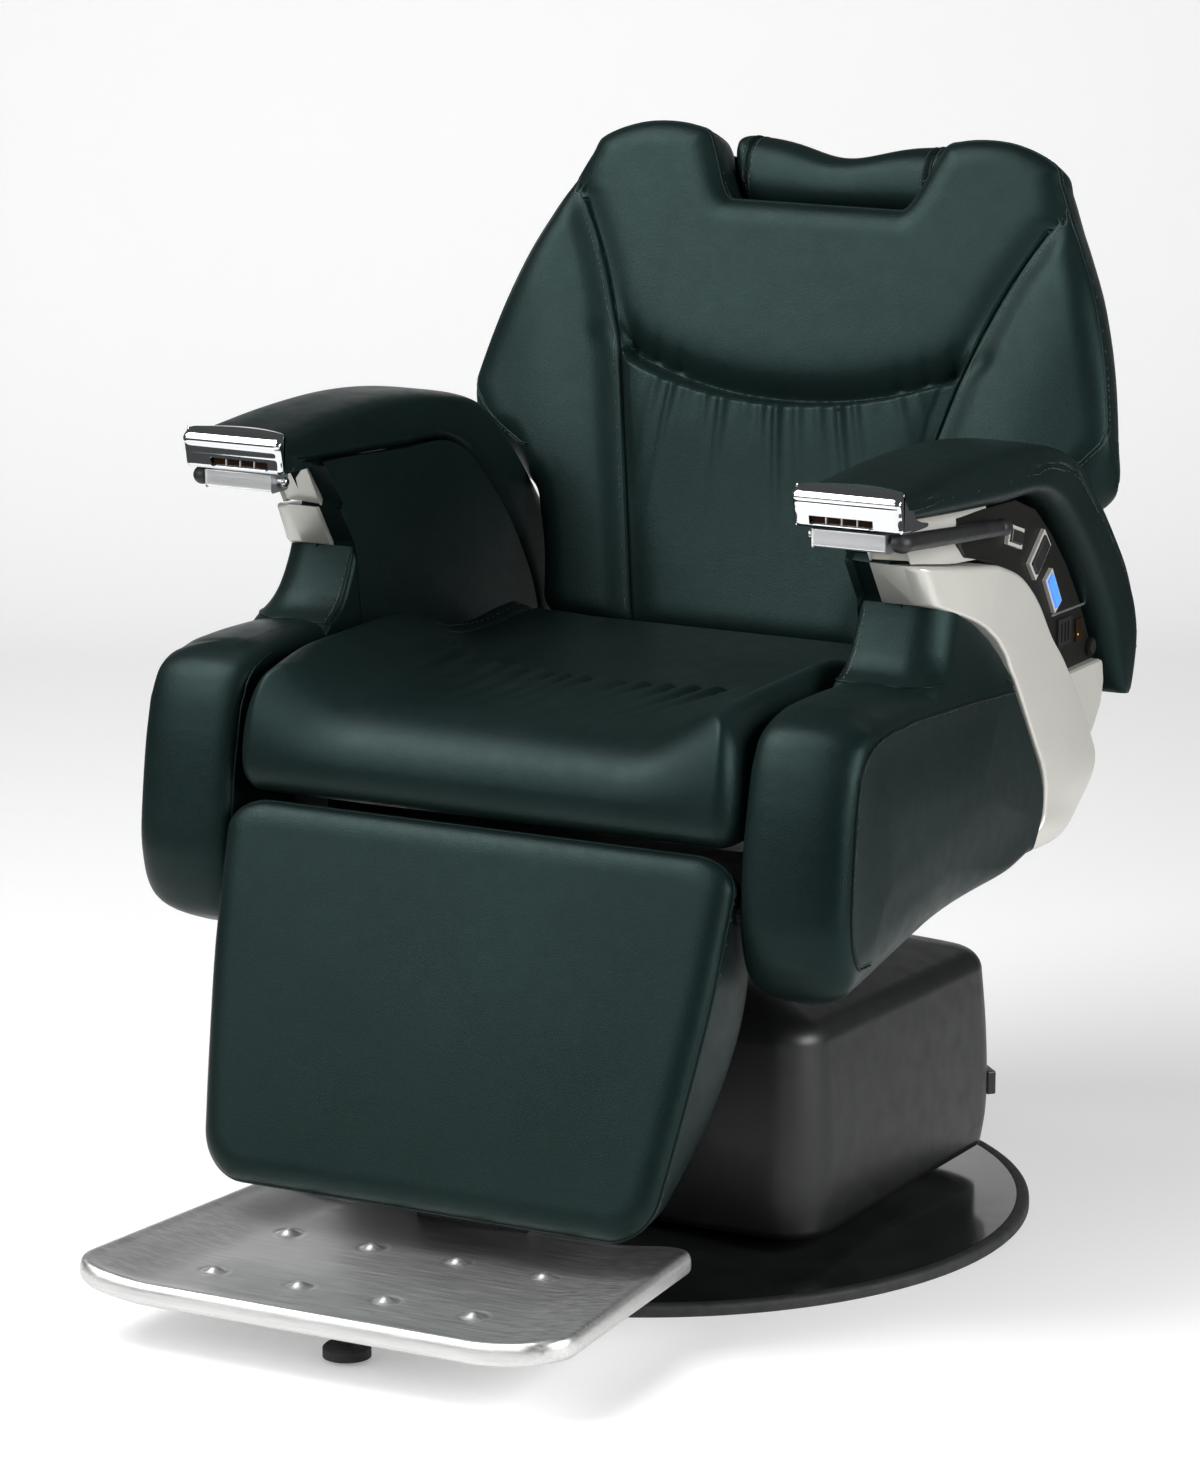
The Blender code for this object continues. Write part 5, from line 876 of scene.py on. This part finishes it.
PAD_UNDERSIDE = (
    (-0.196, 0.6845), (-0.097, 0.6755), (0.003, 0.6685), (0.075, 0.6655), (0.118, 0.65),
    (0.15, 0.625), (0.185, 0.59), (0.215, 0.552), (0.243, 0.505), (0.259, 0.455),
)
PAD_TOP = (
    (-0.196, 0.709), (-0.09, 0.7165), (0.005, 0.717), (0.092, 0.708), (0.158, 0.69),
    (0.205, 0.653), (0.25, 0.606), (0.286, 0.56), (0.303, 0.512), (0.294, 0.452),
)
BAND_OUTER = (
    (-0.1105, 0.632), (-0.0368, 0.622), (0.0, 0.6172), (0.0174, 0.6129), (0.0469, 0.6017), (0.068, 0.588),
    (0.0894, 0.5679), (0.1144, 0.5356), (0.146, 0.5027), (0.199, 0.433), (0.212, 0.401), (0.184, 0.3715),
    (0.139, 0.3465), (0.056, 0.342),
)
BAND_INNER = (
    (-0.0855, 0.594), (-0.048, 0.5795), (-0.0233, 0.5677), (-0.012, 0.5605), (0.0017, 0.551), (0.011, 0.542),
    (0.0196, 0.5327), (0.028, 0.519), (0.04, 0.503), (0.075, 0.45), (0.099, 0.4142), (0.106, 0.387),
    (0.098, 0.364), (0.054, 0.3475),
)
BAND_FACE = (
    0.322, 0.3375, 0.343, 0.3445, 0.3455, 0.346, 0.3465, 0.347, 0.3475, 0.348, 0.3475, 0.346, 0.344, 0.333,
)
BAND_BASE, BAND_TOP_ROUND, BAND_LOW_ROUND, BAND_NOSE, BAND_TAIL = 0.2755, 0.006, 0.0035, 0.014, 0.012
SEAM_HEIGHT = (
    (0.0, 0.6), (0.06, 0.56), (0.14, 0.48), (0.26, 0.52), (0.36, 0.66), (0.48, 0.72), (0.58, 0.74),
    (0.7, 0.8), (0.82, 0.86), (1.0, 0.9),
)


def sided(points, side):
    """Points of the sitter's left arm, mirrored for the right one."""
    return np.asarray(points, float) * (SIDES[side], 1.0, 1.0)


def arm_piece(name, side, shape, finish, slot, replaces="", body="seat", sharp=40):
    """A piece of one arm from its left-hand points and faces; it may replace the solid of a name on its side."""
    points, faces = shape
    nodes = (f"{replaces}_{side}",) if replaces else ()
    return piece(f"{name}_{side}", sided(points, side), faces, finish, body, slot, nodes, sharp)


def arm_pad(name, side, shape, replaces):
    """A padded piece of one arm, and the tree to lay its seams with."""
    made = arm_piece(name, side, shape, LEATHER, "leather", replaces)
    return tree_of(made)


def arm_sewing(name, side, cords, threads):
    """The piping and the stitches of one arm's piece."""
    piece(f"{name}_piping_{side}", *joined(cords), PIPING, "seat", "leather")
    piece(f"{name}_stitches_{side}", *joined(threads), THREAD, "seat", "leather")


def at_x(x, line):
    """A line of (y, z) points at one x."""
    return np.c_[np.full(len(line), x), line]


def inset(shape, amount):
    """A closed line of (y, z) points moved inwards."""
    p = np.asarray(shape, float)
    along = np.roll(p, -1, 0) - np.roll(p, 1, 0)
    along /= np.linalg.norm(along, axis=1)[:, None] + 1e-12
    area = 0.5 * np.sum(p[:, 0] * np.roll(p[:, 1], -1) - np.roll(p[:, 0], -1) * p[:, 1])
    inward = np.stack([-along[:, 1], along[:, 0]], 1) * np.sign(area)
    return p + inward * amount


def slab_of(shape, low, high, low_round, high_round, steps=6):
    """Points and faces of a plate with a (y, z) outline between two x values, with rounded rims."""
    rings = []
    turns = quarter(steps)
    for a in turns:
        rings.append((low + low_round * (1 - math.sin(a)), low_round * (1 - math.cos(np.pi / 2 - a))))
    for a in turns[::-1]:
        rings.append((high - high_round * (1 - math.sin(a)), high_round * (1 - math.cos(np.pi / 2 - a))))
    rings.sort()
    return loft_of([at_x(x, inset(shape, amount)) for x, amount in rings])


def build_arm_pad(side):
    """The padded armrest: a rounded section swept down behind the arm, with a top-stitched seam."""
    low, high = run(PAD_UNDERSIDE, 14), run(PAD_TOP, 14)
    count = len(low)
    half = (PAD_FACE - ARM_INNER) / 2
    middle = (PAD_FACE + ARM_INNER) / 2
    turn = circle(96) + np.pi / 96
    across = squarish(np.cos(turn), 0.4)
    up = 0.5 + 0.5 * squarish(np.sin(turn), 0.52)
    seam_at = reader(SEAM_HEIGHT)
    rings = []
    for i in range(count):
        t = i / (count - 1)
        start, stop = min(i / 5, 1.0), min((count - 1 - i) / 14, 1.0)
        grow = (0.93 + 0.07 * math.sqrt(1 - (1 - start) ** 2)) * (0.45 + 0.55 * math.sqrt(1 - (1 - stop) ** 2))
        pinch = 0.0022 * bell(up - seam_at(t), 0.03) * smooth(0.45, 0.75, across)
        crowned = up + 0.07 * np.clip(up - 0.5, 0, 1) * (1 - across**2)
        level = 0.5 + (crowned - 0.5) * grow
        place = low[i] + (high[i] - low[i]) * level[:, None]
        x = middle + half * across * (0.9 + 0.1 * grow) - pinch
        rings.append(np.c_[x, place])
    tree = arm_pad("arm_upholstery", side, loft_of(rings), "arm_pad")
    t = np.arange(count) / (count - 1)
    place = low + (high - low) * (seam_at(t) - 0.06)[:, None]
    path = sided(at_x(PAD_FACE + 0.01, place), side)[2:-8]
    piece("arm_stitches_" + side, *sewn(tree, even(path, 260)), THREAD, "seat", "leather")


def build_band(side):
    """The silver band: from the arm's front it runs back, bends down and ends below the side panel."""
    outer, inner = run(BAND_OUTER), run(BAND_INNER)
    faces = run(np.c_[BAND_FACE, BAND_FACE])[:, 0]
    gone = along_line(outer)
    top, low = BAND_TOP_ROUND, BAND_LOW_ROUND
    bend = quarter(7)
    rings = []
    for i in range(len(outer)):
        nose = max(BAND_NOSE - gone[i], 0.0)
        tail = max(BAND_TAIL - (gone[-1] - gone[i]), 0.0)
        face = faces[i] - BAND_NOSE + math.sqrt(BAND_NOSE**2 - nose**2) - BAND_TAIL + math.sqrt(BAND_TAIL**2 - tail**2)
        wide = np.linalg.norm(outer[i] - inner[i])
        section = [(BAND_BASE, 0.0), (face - low, 0.0)]
        section += [(face - low + low * math.sin(a), low - low * math.cos(a)) for a in bend[1:]]
        section += [(face - top + top * math.cos(a), wide - top + top * math.sin(a)) for a in bend]
        section = np.asarray([*section, (BAND_BASE, wide)])
        rings.append(np.c_[section[:, 0], inner[i] + (outer[i] - inner[i]) * (section[:, 1:] / wide)])
    arm_piece("arm_band", side, loft_of(rings), SILVER, "silver", "trim_band", sharp=50)

    shape = outline((
        (-0.106, 0.633), (-0.129, 0.671), (-0.13, 0.6745), (-0.04, 0.67), (0.01, 0.667), (0.01, 0.621),
        (-0.05, 0.626),
    ), 140)
    points, faces = slab_of(shape, 0.2735, 0.312, 0.0015, 0.003)
    points[:, 0] += 0.0155 * smooth(0.3, 0.306, points[:, 0]) * smooth(-0.106, -0.056, points[:, 1])
    arm_piece("arm_front_trim", side, (points, faces), SILVER, "silver", "arm_inner_plate")


def coons(front, rear, bottom, top, a, b):
    """Places inside four edge lines, from shares a across and b up."""
    def read(edge, at):
        return np.stack([np.interp(at, np.linspace(0, 1, len(edge)), edge[:, k]) for k in range(2)], -1)

    a3, b3 = a[..., None], b[..., None]
    straight = (1 - b3) * read(bottom, a) + b3 * read(top, a) + (1 - a3) * read(front, b) + a3 * read(rear, b)
    lower = (1 - a3) * (1 - b3) * bottom[0] + a3 * (1 - b3) * bottom[-1]
    return straight - (lower + (1 - a3) * b3 * top[0] + a3 * b3 * top[-1])


SIDE_FRONT = (
    (-0.245, 0.277), (-0.283, 0.293), (-0.3, 0.317), (-0.3075, 0.345), (-0.309, 0.369), (-0.306, 0.4),
    (-0.301, 0.436), (-0.295, 0.465), (-0.285, 0.495), (-0.268, 0.518), (-0.235, 0.532),
)
SIDE_TOP = ((-0.235, 0.532), (-0.17, 0.533), (-0.08, 0.53), (0.017, 0.527))
SIDE_BOTTOM = ((-0.245, 0.277), (-0.15, 0.296), (-0.05, 0.315), (0.07, 0.338))
SIDE_REAR = (
    (0.07, 0.338), (0.088, 0.36), (0.099, 0.385), (0.094, 0.4142), (0.072, 0.45), (0.037, 0.5),
    (0.017, 0.527),
)
SIDE_MIDDLE = 0.286
SIDE_WELT = (
    (0.03, 0.501), (-0.04, 0.507), (-0.095, 0.512), (-0.15, 0.515), (-0.1914, 0.515), (-0.23, 0.512),
    (-0.256, 0.503), (-0.273, 0.485), (-0.28, 0.455), (-0.2835, 0.4257), (-0.286, 0.39), (-0.286, 0.36),
    (-0.28, 0.335), (-0.265, 0.316), (-0.24, 0.308),
)


def build_side_panel(side):
    """The padded side: flat outer face, soft front, rounded shoulder and a large lower corner."""
    edges = [even(run(edge), 160) for edge in (SIDE_FRONT, SIDE_REAR, SIDE_BOTTOM, SIDE_TOP)]
    q, t = grid((0.1, 0.04), (0.1, 0.1), 120, 100, 14)
    place = coons(*edges, (q + 1) / 2, (t + 1) / 2)
    y, z = place[..., 0], place[..., 1]
    edge = from_edge(y, z)
    from_front, from_rear, from_bottom, from_top = (distances(place, even(line, 700)) for line in edges)
    lift = (rounding(from_front, 0.026, 2.9) * rounding(from_bottom, 0.062 - 0.046 * smooth(-0.11, 0.04, y), 2.0)
            * rounding(from_top, 0.024, 2.4) * rounding(from_rear, 0.004))
    lift = lift * (edge > 0)
    crown = 0.0025 * smooth(0.03, 0.1, edge)
    outer = np.stack([SIDE_MIDDLE + (SIDE_FACE - SIDE_MIDDLE + crown) * lift, y, z], -1)
    inner = np.stack([SIDE_MIDDLE - (SIDE_MIDDLE - ARM_INNER - 0.0006) * rounding(edge, 0.016, 2.6), y, z], -1)
    tree = arm_pad("side_upholstery", side, shell_of(outer, inner), "side_panel")
    path = even(run(SIDE_WELT), 280)
    centre = np.array((-0.1, 0.42))
    pulled = path + (centre - path) / np.linalg.norm(centre - path, axis=1)[:, None] * STITCH_GAP
    inner_path = even(run(SIDE_FRONT[1:]) + (0.01, 0.0), 200)
    cords = [
        tube_of(laid(tree, sided(line, side))[0], radius)
        for line, radius in ((at_x(SIDE_FACE + 0.02, path), SIDE_CORD), (at_x(ARM_INNER - 0.02, inner_path), THIN_CORD))
    ]
    arm_sewing("side", side, cords, [sewn(tree, sided(at_x(SIDE_FACE + 0.02, pulled), side))])


NECK_LOW, NECK_HIGH, NECK_WELT = 0.505, 0.5925, 0.5305
neck_front = reader((
    (NECK_LOW, -0.15), (0.518, -0.142), (0.529, -0.13), (0.5385, -0.113), (0.548, -0.103), (0.556, -0.0975),
    (0.57, -0.09), (0.586, -0.083), (0.6, -0.08), (0.64, -0.08),
))
neck_rear = reader([(z, y) for y, z in reversed(run(BAND_INNER[:10], 6))])


def neck_ring(z):
    """The neck's level line: small inner corner, large outer corner, cut off along the band."""
    t = float(np.clip((z - 0.515) / 0.08, 0.0, 1.0))
    front = float(neck_front(z))
    rear = max(float(neck_rear(z)) - 0.0015, front + 0.045)
    outer = 0.3335 + 0.011 * (1 - t) ** 2.5
    small, large = 0.007, min(0.034, (rear - front) * 0.8)
    a = np.radians(np.linspace(0.0, 90.0, 14))
    return np.vstack([
        [(ARM_INNER + 0.0008, rear)],
        np.stack([ARM_INNER + 0.0008 + small * (1 - np.cos(a)), front + small * (1 - np.sin(a))], 1),
        np.stack([outer - large * (1 - np.sin(a)), front + large * (1 - np.cos(a))], 1),
        [(outer, rear)],
    ])


def build_arm_body(side):
    """The leather arm under the pad, and the neck that joins it to the side panel."""
    rings = [np.c_[neck_ring(z), np.full(30, z)] for z in np.linspace(NECK_LOW, NECK_HIGH, 48)]
    tree = arm_pad("arm_neck_upholstery", side, loft_of(rings), "arm_neck")
    rise = np.linspace(0.533, 0.588, 40)
    edge = np.stack([np.full(40, ARM_INNER + 0.0035), neck_front(rise) - 0.004, rise], 1)
    base = np.c_[neck_ring(NECK_WELT)[1:-1], np.full(28, NECK_WELT)]
    cords = [tube_of(laid(tree, sided(line, side))[0], THIN_CORD) for line in (edge, even(base, 80))]
    beside = even(edge + (WIDE_STITCH_GAP, 0.0, 0.0), 60)
    arm_sewing("arm_neck", side, cords, [sewn(tree, sided(beside, side))])

    under = [(y - 0.003, z + 0.002) for y, z in run(PAD_UNDERSIDE[1:], 6)]
    shape = outline((
        (-0.137, 0.679), (-0.104, 0.637), (-0.108, 0.631), (-0.083, 0.594), (-0.079, 0.56), (-0.07, 0.5),
        (0.02, 0.42), (0.11, 0.346), (0.235, 0.346), (0.254, 0.43), *reversed(under),
    ), 420)
    arm_pad("arm_core_upholstery", side, slab_of(shape, ARM_INNER + 0.0002, 0.2925, 0.005, 0.0015), "arm_core")


CAP_OUTER, CAP_END, CAP_SLOT, CAP_SLOT_DEPTH = 0.3515, 0.006, (0.2655, 0.2668, 0.3235, 0.3248), 0.0095
CAP_FRONT = (
    (-0.202, 0.7116), (-0.208, 0.708), (-0.2108, 0.7042), (-0.2104, 0.7008), (-0.2087, 0.6978), (-0.2074, 0.692),
    (-0.2067, 0.689), (-0.2056, 0.6825), (-0.2049, 0.6795), (-0.203, 0.6772),
)
CAP_FOOT = (
    (-0.201, 0.6772), (-0.17, 0.677), (-0.157, 0.6772), (-0.1545, 0.6786), (-0.156, 0.6805), (-0.17, 0.6836),
    (-0.1785, 0.688), (-0.184, 0.695), (-0.193, 0.696), (-0.201, 0.694), (-0.201, 0.6772),
)


def build_cap(side):
    """The chrome cap on the arm's front: a rolled top plate, a front with a low slot, and a foot behind."""
    low, high, end, slot = ARM_INNER + 0.0005, CAP_OUTER, CAP_END, CAP_SLOT
    bend = quarter(9)
    places = [(low + end * (1 - math.cos(a)), end * (1 - math.sin(a))) for a in bend]
    places += [(x, 0.0) for x in np.linspace(low + end + 0.002, slot[0] - 0.001, 4)]
    places += [(slot[0], 0.0), (slot[1], -1.0)]
    places += [(x, -1.0) for x in np.linspace(slot[1] + 0.004, slot[2] - 0.004, 12)]
    places += [(slot[2], -1.0), (slot[3], 0.0)]
    places += [(x, 0.0) for x in np.linspace(slot[3] + 0.001, high - end - 0.002, 6)]
    places += [(high - end * (1 - math.cos(a)), end * (1 - math.sin(a))) for a in bend[::-1]]
    face = even(run(CAP_FRONT, 8), 70)
    rings = []
    for x, state in places:
        back = -0.1985 + 0.0255 * (1 - ((x - (low + high) / 2) / ((high - low) / 2)) ** 2)
        rear = ((-0.186, 0.677), (-0.1835, 0.689), (back - 0.0004, 0.7086), (back, 0.7102), (back - 0.0012, 0.7116))
        top = (back * 0.6 + CAP_FRONT[0][0] * 0.4, 0.7126)
        dense = np.vstack([face, even(run([CAP_FRONT[-1], *rear, top, CAP_FRONT[0]], 6), 61)[1:-1]])
        level = dense[:, 1]
        inside = smooth(0.6799, 0.6806, level) * (1 - smooth(0.6866, 0.6873, level)) * (dense[:, 0] < -0.2)
        shape = inset(dense, max(state, 0.0) * 0.5)
        if state < 0:
            shape = shape + np.stack([CAP_SLOT_DEPTH * inside, 0 * inside], 1)
        rings.append(at_x(x, shape))
    foot = slab_of(even(run(CAP_FOOT, 6), 100)[:-1], low + 0.0004, high - 0.0002, 0.0014, 0.0014)
    arm_piece("arm_cap_shell", side, joined([loft_of(rings), foot]), CHROME, "chrome", "arm_cap", sharp=34)

    strip = outline(((-0.203, 0.6806), (-0.1975, 0.6806), (-0.1975, 0.6868), (-0.203, 0.6868)), 40)
    made = slab_of(strip, 0.267, 0.3233, 0.0004, 0.0004)
    arm_piece("cap_slot_strip", side, made, SMOKED, "switch_plastic", "cap_insert")
    ribs = [slab_of(strip - (0.0012, 0.0), x, x + 0.0012, 0.0002, 0.0002) for x in (0.28, 0.2945, 0.309)]
    arm_piece("cap_slot_ribs", side, joined(ribs), SATIN, "chrome")

    shape = outline((
        (-0.2005, 0.6605), (-0.1985, 0.6585), (-0.1745, 0.6585), (-0.1722, 0.6605), (-0.1722, 0.6758),
        (-0.2005, 0.6758),
    ), 90)
    made = slab_of(shape, 0.2655, 0.334, 0.0012, 0.0012)
    arm_piece("lever_block_shell", side, made, SATIN, "chrome", "lever_block")


LEVER_PIVOT, LEVER_RADIUS = (-0.1875, 0.66795), 0.0077
LEVER_RUN = (
    (0.3355, *LEVER_PIVOT), (0.3395, -0.1895, 0.6681), (0.3425, -0.1905, 0.668), (0.3445, -0.187, 0.6675),
    (0.345, -0.176, 0.6667), (0.345, -0.1, 0.6596), (0.345, -0.004, 0.6506), (0.3446, 0.008, 0.6492),
    (0.3425, 0.016, 0.648), (0.338, 0.02, 0.6472), (0.331, 0.0215, 0.6468),
)


def build_lever(side):
    """The lever: a dark rod with a ball at its pivot, a ring joint and an elbow at the far end."""
    path = even(run(LEVER_RUN, 10), 150)
    along = np.linspace(0.0, 1.0, 150)
    radius = LEVER_RADIUS - 0.0007 * smooth(0.08, 0.9, along)
    radius = radius + 0.0008 * bell(along - 0.045, 0.022)
    radius = radius * np.sqrt(np.clip(1 - (1 - np.clip(along / 0.03, 0, 1)) ** 2, 0.12, 1))
    radius = radius - 0.0011 * bell(along - 0.865, 0.0045) + 0.0006 * smooth(0.87, 0.885, along)
    radius = radius * (1 - 0.25 * smooth(0.97, 1.0, along))
    body = "lever_" + side
    arm_piece("lever_rod", side, tube_of(path, radius, 28), LEVER, "switch_plastic", "lever", body)
    shaft = np.array((
        (0.256, 0.0), (0.2564, 0.003), (0.2575, 0.0042), (0.26, 0.0046), (0.262, 0.0038), (0.263, 0.003),
        (0.27, 0.003), (0.33, 0.003), (0.336, 0.003),
    ))
    path = np.c_[shaft[:, 0], np.tile(LEVER_PIVOT, (len(shaft), 1))]
    arm_piece("lever_pin", side, tube_of(path, np.maximum(shaft[:, 1], 0.0006), 20), BRIGHT, "bright_steel", body=body)


def build_panel_details():
    """Small things on the control panel: the divider line and the lamp behind the window."""
    line = np.array(((0.3283, 0.15, 0.5454), (0.3283, 0.223, 0.5443)))
    piece("panel_divider", *tube_of(even(line, 20), 0.001), SATIN, "seat", "silver")
    turn = quarter(7)
    path = np.stack([0.3265 + 0.0036 * np.sin(turn), np.full(7, 0.2045), np.full(7, 0.519)], 1)
    piece("panel_lamp", *tube_of(path, np.maximum(0.003 * np.cos(turn), 0.0003), 16), AMBER, "seat", "smoked_window")


def carry_over():
    """Better materials for the CAD pieces that still show."""
    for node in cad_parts.values():
        for slot in node.material_slots:
            key = slot.material.name.split(".")[0]
            slot.material = CARRIED.get(key, STEEL)


build_back()
build_headrest()
build_seat()
build_legrest()
build_bracket()
build_footplate()
build_base()
build_cover()
for chair_side in SIDES:
    build_arm_pad(chair_side)
    build_band(chair_side)
    build_side_panel(chair_side)
    build_arm_body(chair_side)
    build_cap(chair_side)
    build_lever(chair_side)
build_panel_details()
carry_over()


# Camera, light and floor

scene = bpy.context.scene
camera = bpy.data.objects.new("camera", bpy.data.cameras.new("camera"))
scene.collection.objects.link(camera)
camera.data.lens = CAMERA_LENS
camera.data.sensor_width = CAMERA_SENSOR
camera.data.clip_end = 100.0
camera.location = CAMERA_PLACE
towards = Vector((
    math.sin(CAMERA_AZIMUTH) * math.cos(CAMERA_ELEVATION),
    -math.cos(CAMERA_AZIMUTH) * math.cos(CAMERA_ELEVATION),
    math.sin(CAMERA_ELEVATION),
))
camera.rotation_euler = towards.to_track_quat("Z", "Y").to_euler()
scene.camera = camera


def softbox(name, place, target, size, energy):
    light = bpy.data.lights.new(name, "AREA")
    light.shape = "RECTANGLE"
    light.size, light.size_y = size
    light.energy = energy
    made = bpy.data.objects.new(name, light)
    scene.collection.objects.link(made)
    made.location = place
    made.rotation_euler = (Vector(place) - Vector(target)).to_track_quat("Z", "Y").to_euler()


softbox("front_softbox", (-1.65, -3.0, 2.0), (0.0, -0.1, 0.5), (3.1, 2.1), 66.0)
softbox("side_softbox", (2.95, -0.45, 1.45), (0.3, 0.0, 0.5), (2.2, 1.6), 96.0)
softbox("top_softbox", (-1.55, -1.1, 2.85), (0.0, 0.0, 0.5), (1.9, 1.9), 92.0)


RAYS = ("Is Camera Ray", "Is Glossy Ray", "Is Transmission Ray")
PAPER_FRONT, PAPER_REAR, PAPER_BEND, PAPER_TOP, PAPER_HALF, PAPER_GLOW = -1.45, 2.4, 0.8, 1.3, 1.36, 0.28
ROOM_REST, ROOM_SEEN = 0.04, (1.0, 0.08, 0.08)


def ray_strength(tree, rest, levels):
    """A strength with one level for each kind of ray that shows a backdrop, and another for the rest."""
    paths = tree.nodes.new("ShaderNodeLightPath")
    strength = None
    for ray, level in zip(RAYS, levels):
        shown = tree.nodes.new("ShaderNodeMapRange")
        set_inputs(shown, {"To Min": rest, "To Max": level})
        tree.links.new(paths.outputs[ray], shown.inputs["Value"])
        if strength is None:
            strength = shown.outputs["Result"]
            continue
        most = tree.nodes.new("ShaderNodeMath")
        most.operation = "MAXIMUM"
        tree.links.new(strength, most.inputs[0])
        tree.links.new(shown.outputs["Result"], most.inputs[1])
        strength = most.outputs["Value"]
    return strength


def build_sweep():
    """Pale paper under and behind the chair, square to the camera, that ends in front of it."""
    profile = [(PAPER_FRONT, 0.0), (PAPER_REAR, 0.0)]
    profile += [(PAPER_REAR + PAPER_BEND * math.sin(a), PAPER_BEND - PAPER_BEND * math.cos(a)) for a in quarter(17)[1:]]
    profile += [(PAPER_REAR + PAPER_BEND, PAPER_TOP)]
    away = np.array((-math.sin(CAMERA_AZIMUTH), math.cos(CAMERA_AZIMUTH)))
    along = np.array((away[1], -away[0]))
    points = []
    for across in (-PAPER_HALF, PAPER_HALF):
        points += [(*(away * back + along * across), z) for back, z in profile]
    count = len(profile)
    faces = [(i, i + 1, count + i + 1, count + i) for i in range(count - 1)]
    mesh = bpy.data.meshes.new("studio_sweep")
    mesh.from_pydata([tuple(map(float, p)) for p in points], [], faces)
    mesh.shade_smooth()
    made = bpy.data.objects.new("studio_sweep", mesh)
    scene.collection.objects.link(made)
    finish = Finish("pale_paper", (0.8, 0.8, 0.8), 0.8, Emission_Color=(1.0, 1.0, 1.0, 1.0))
    finish.gloss(finish.noise(3.0, 4.0), 0.76, 0.84)
    glow = ray_strength(finish.made.node_tree, 0.0, (PAPER_GLOW,) * len(RAYS))
    finish.links.new(glow, finish.shader.inputs["Emission Strength"])
    mesh.materials.append(finish.made)


build_sweep()

world = bpy.data.worlds.new("studio")
scene.world = world
world.use_nodes = True
room = world.node_tree.nodes["Background"]
room.inputs["Color"].default_value = (0.95, 1.0, 0.99, 1.0)
world.node_tree.links.new(ray_strength(world.node_tree, ROOM_REST, ROOM_SEEN), room.inputs["Strength"])

scene.view_settings.view_transform = "Standard"
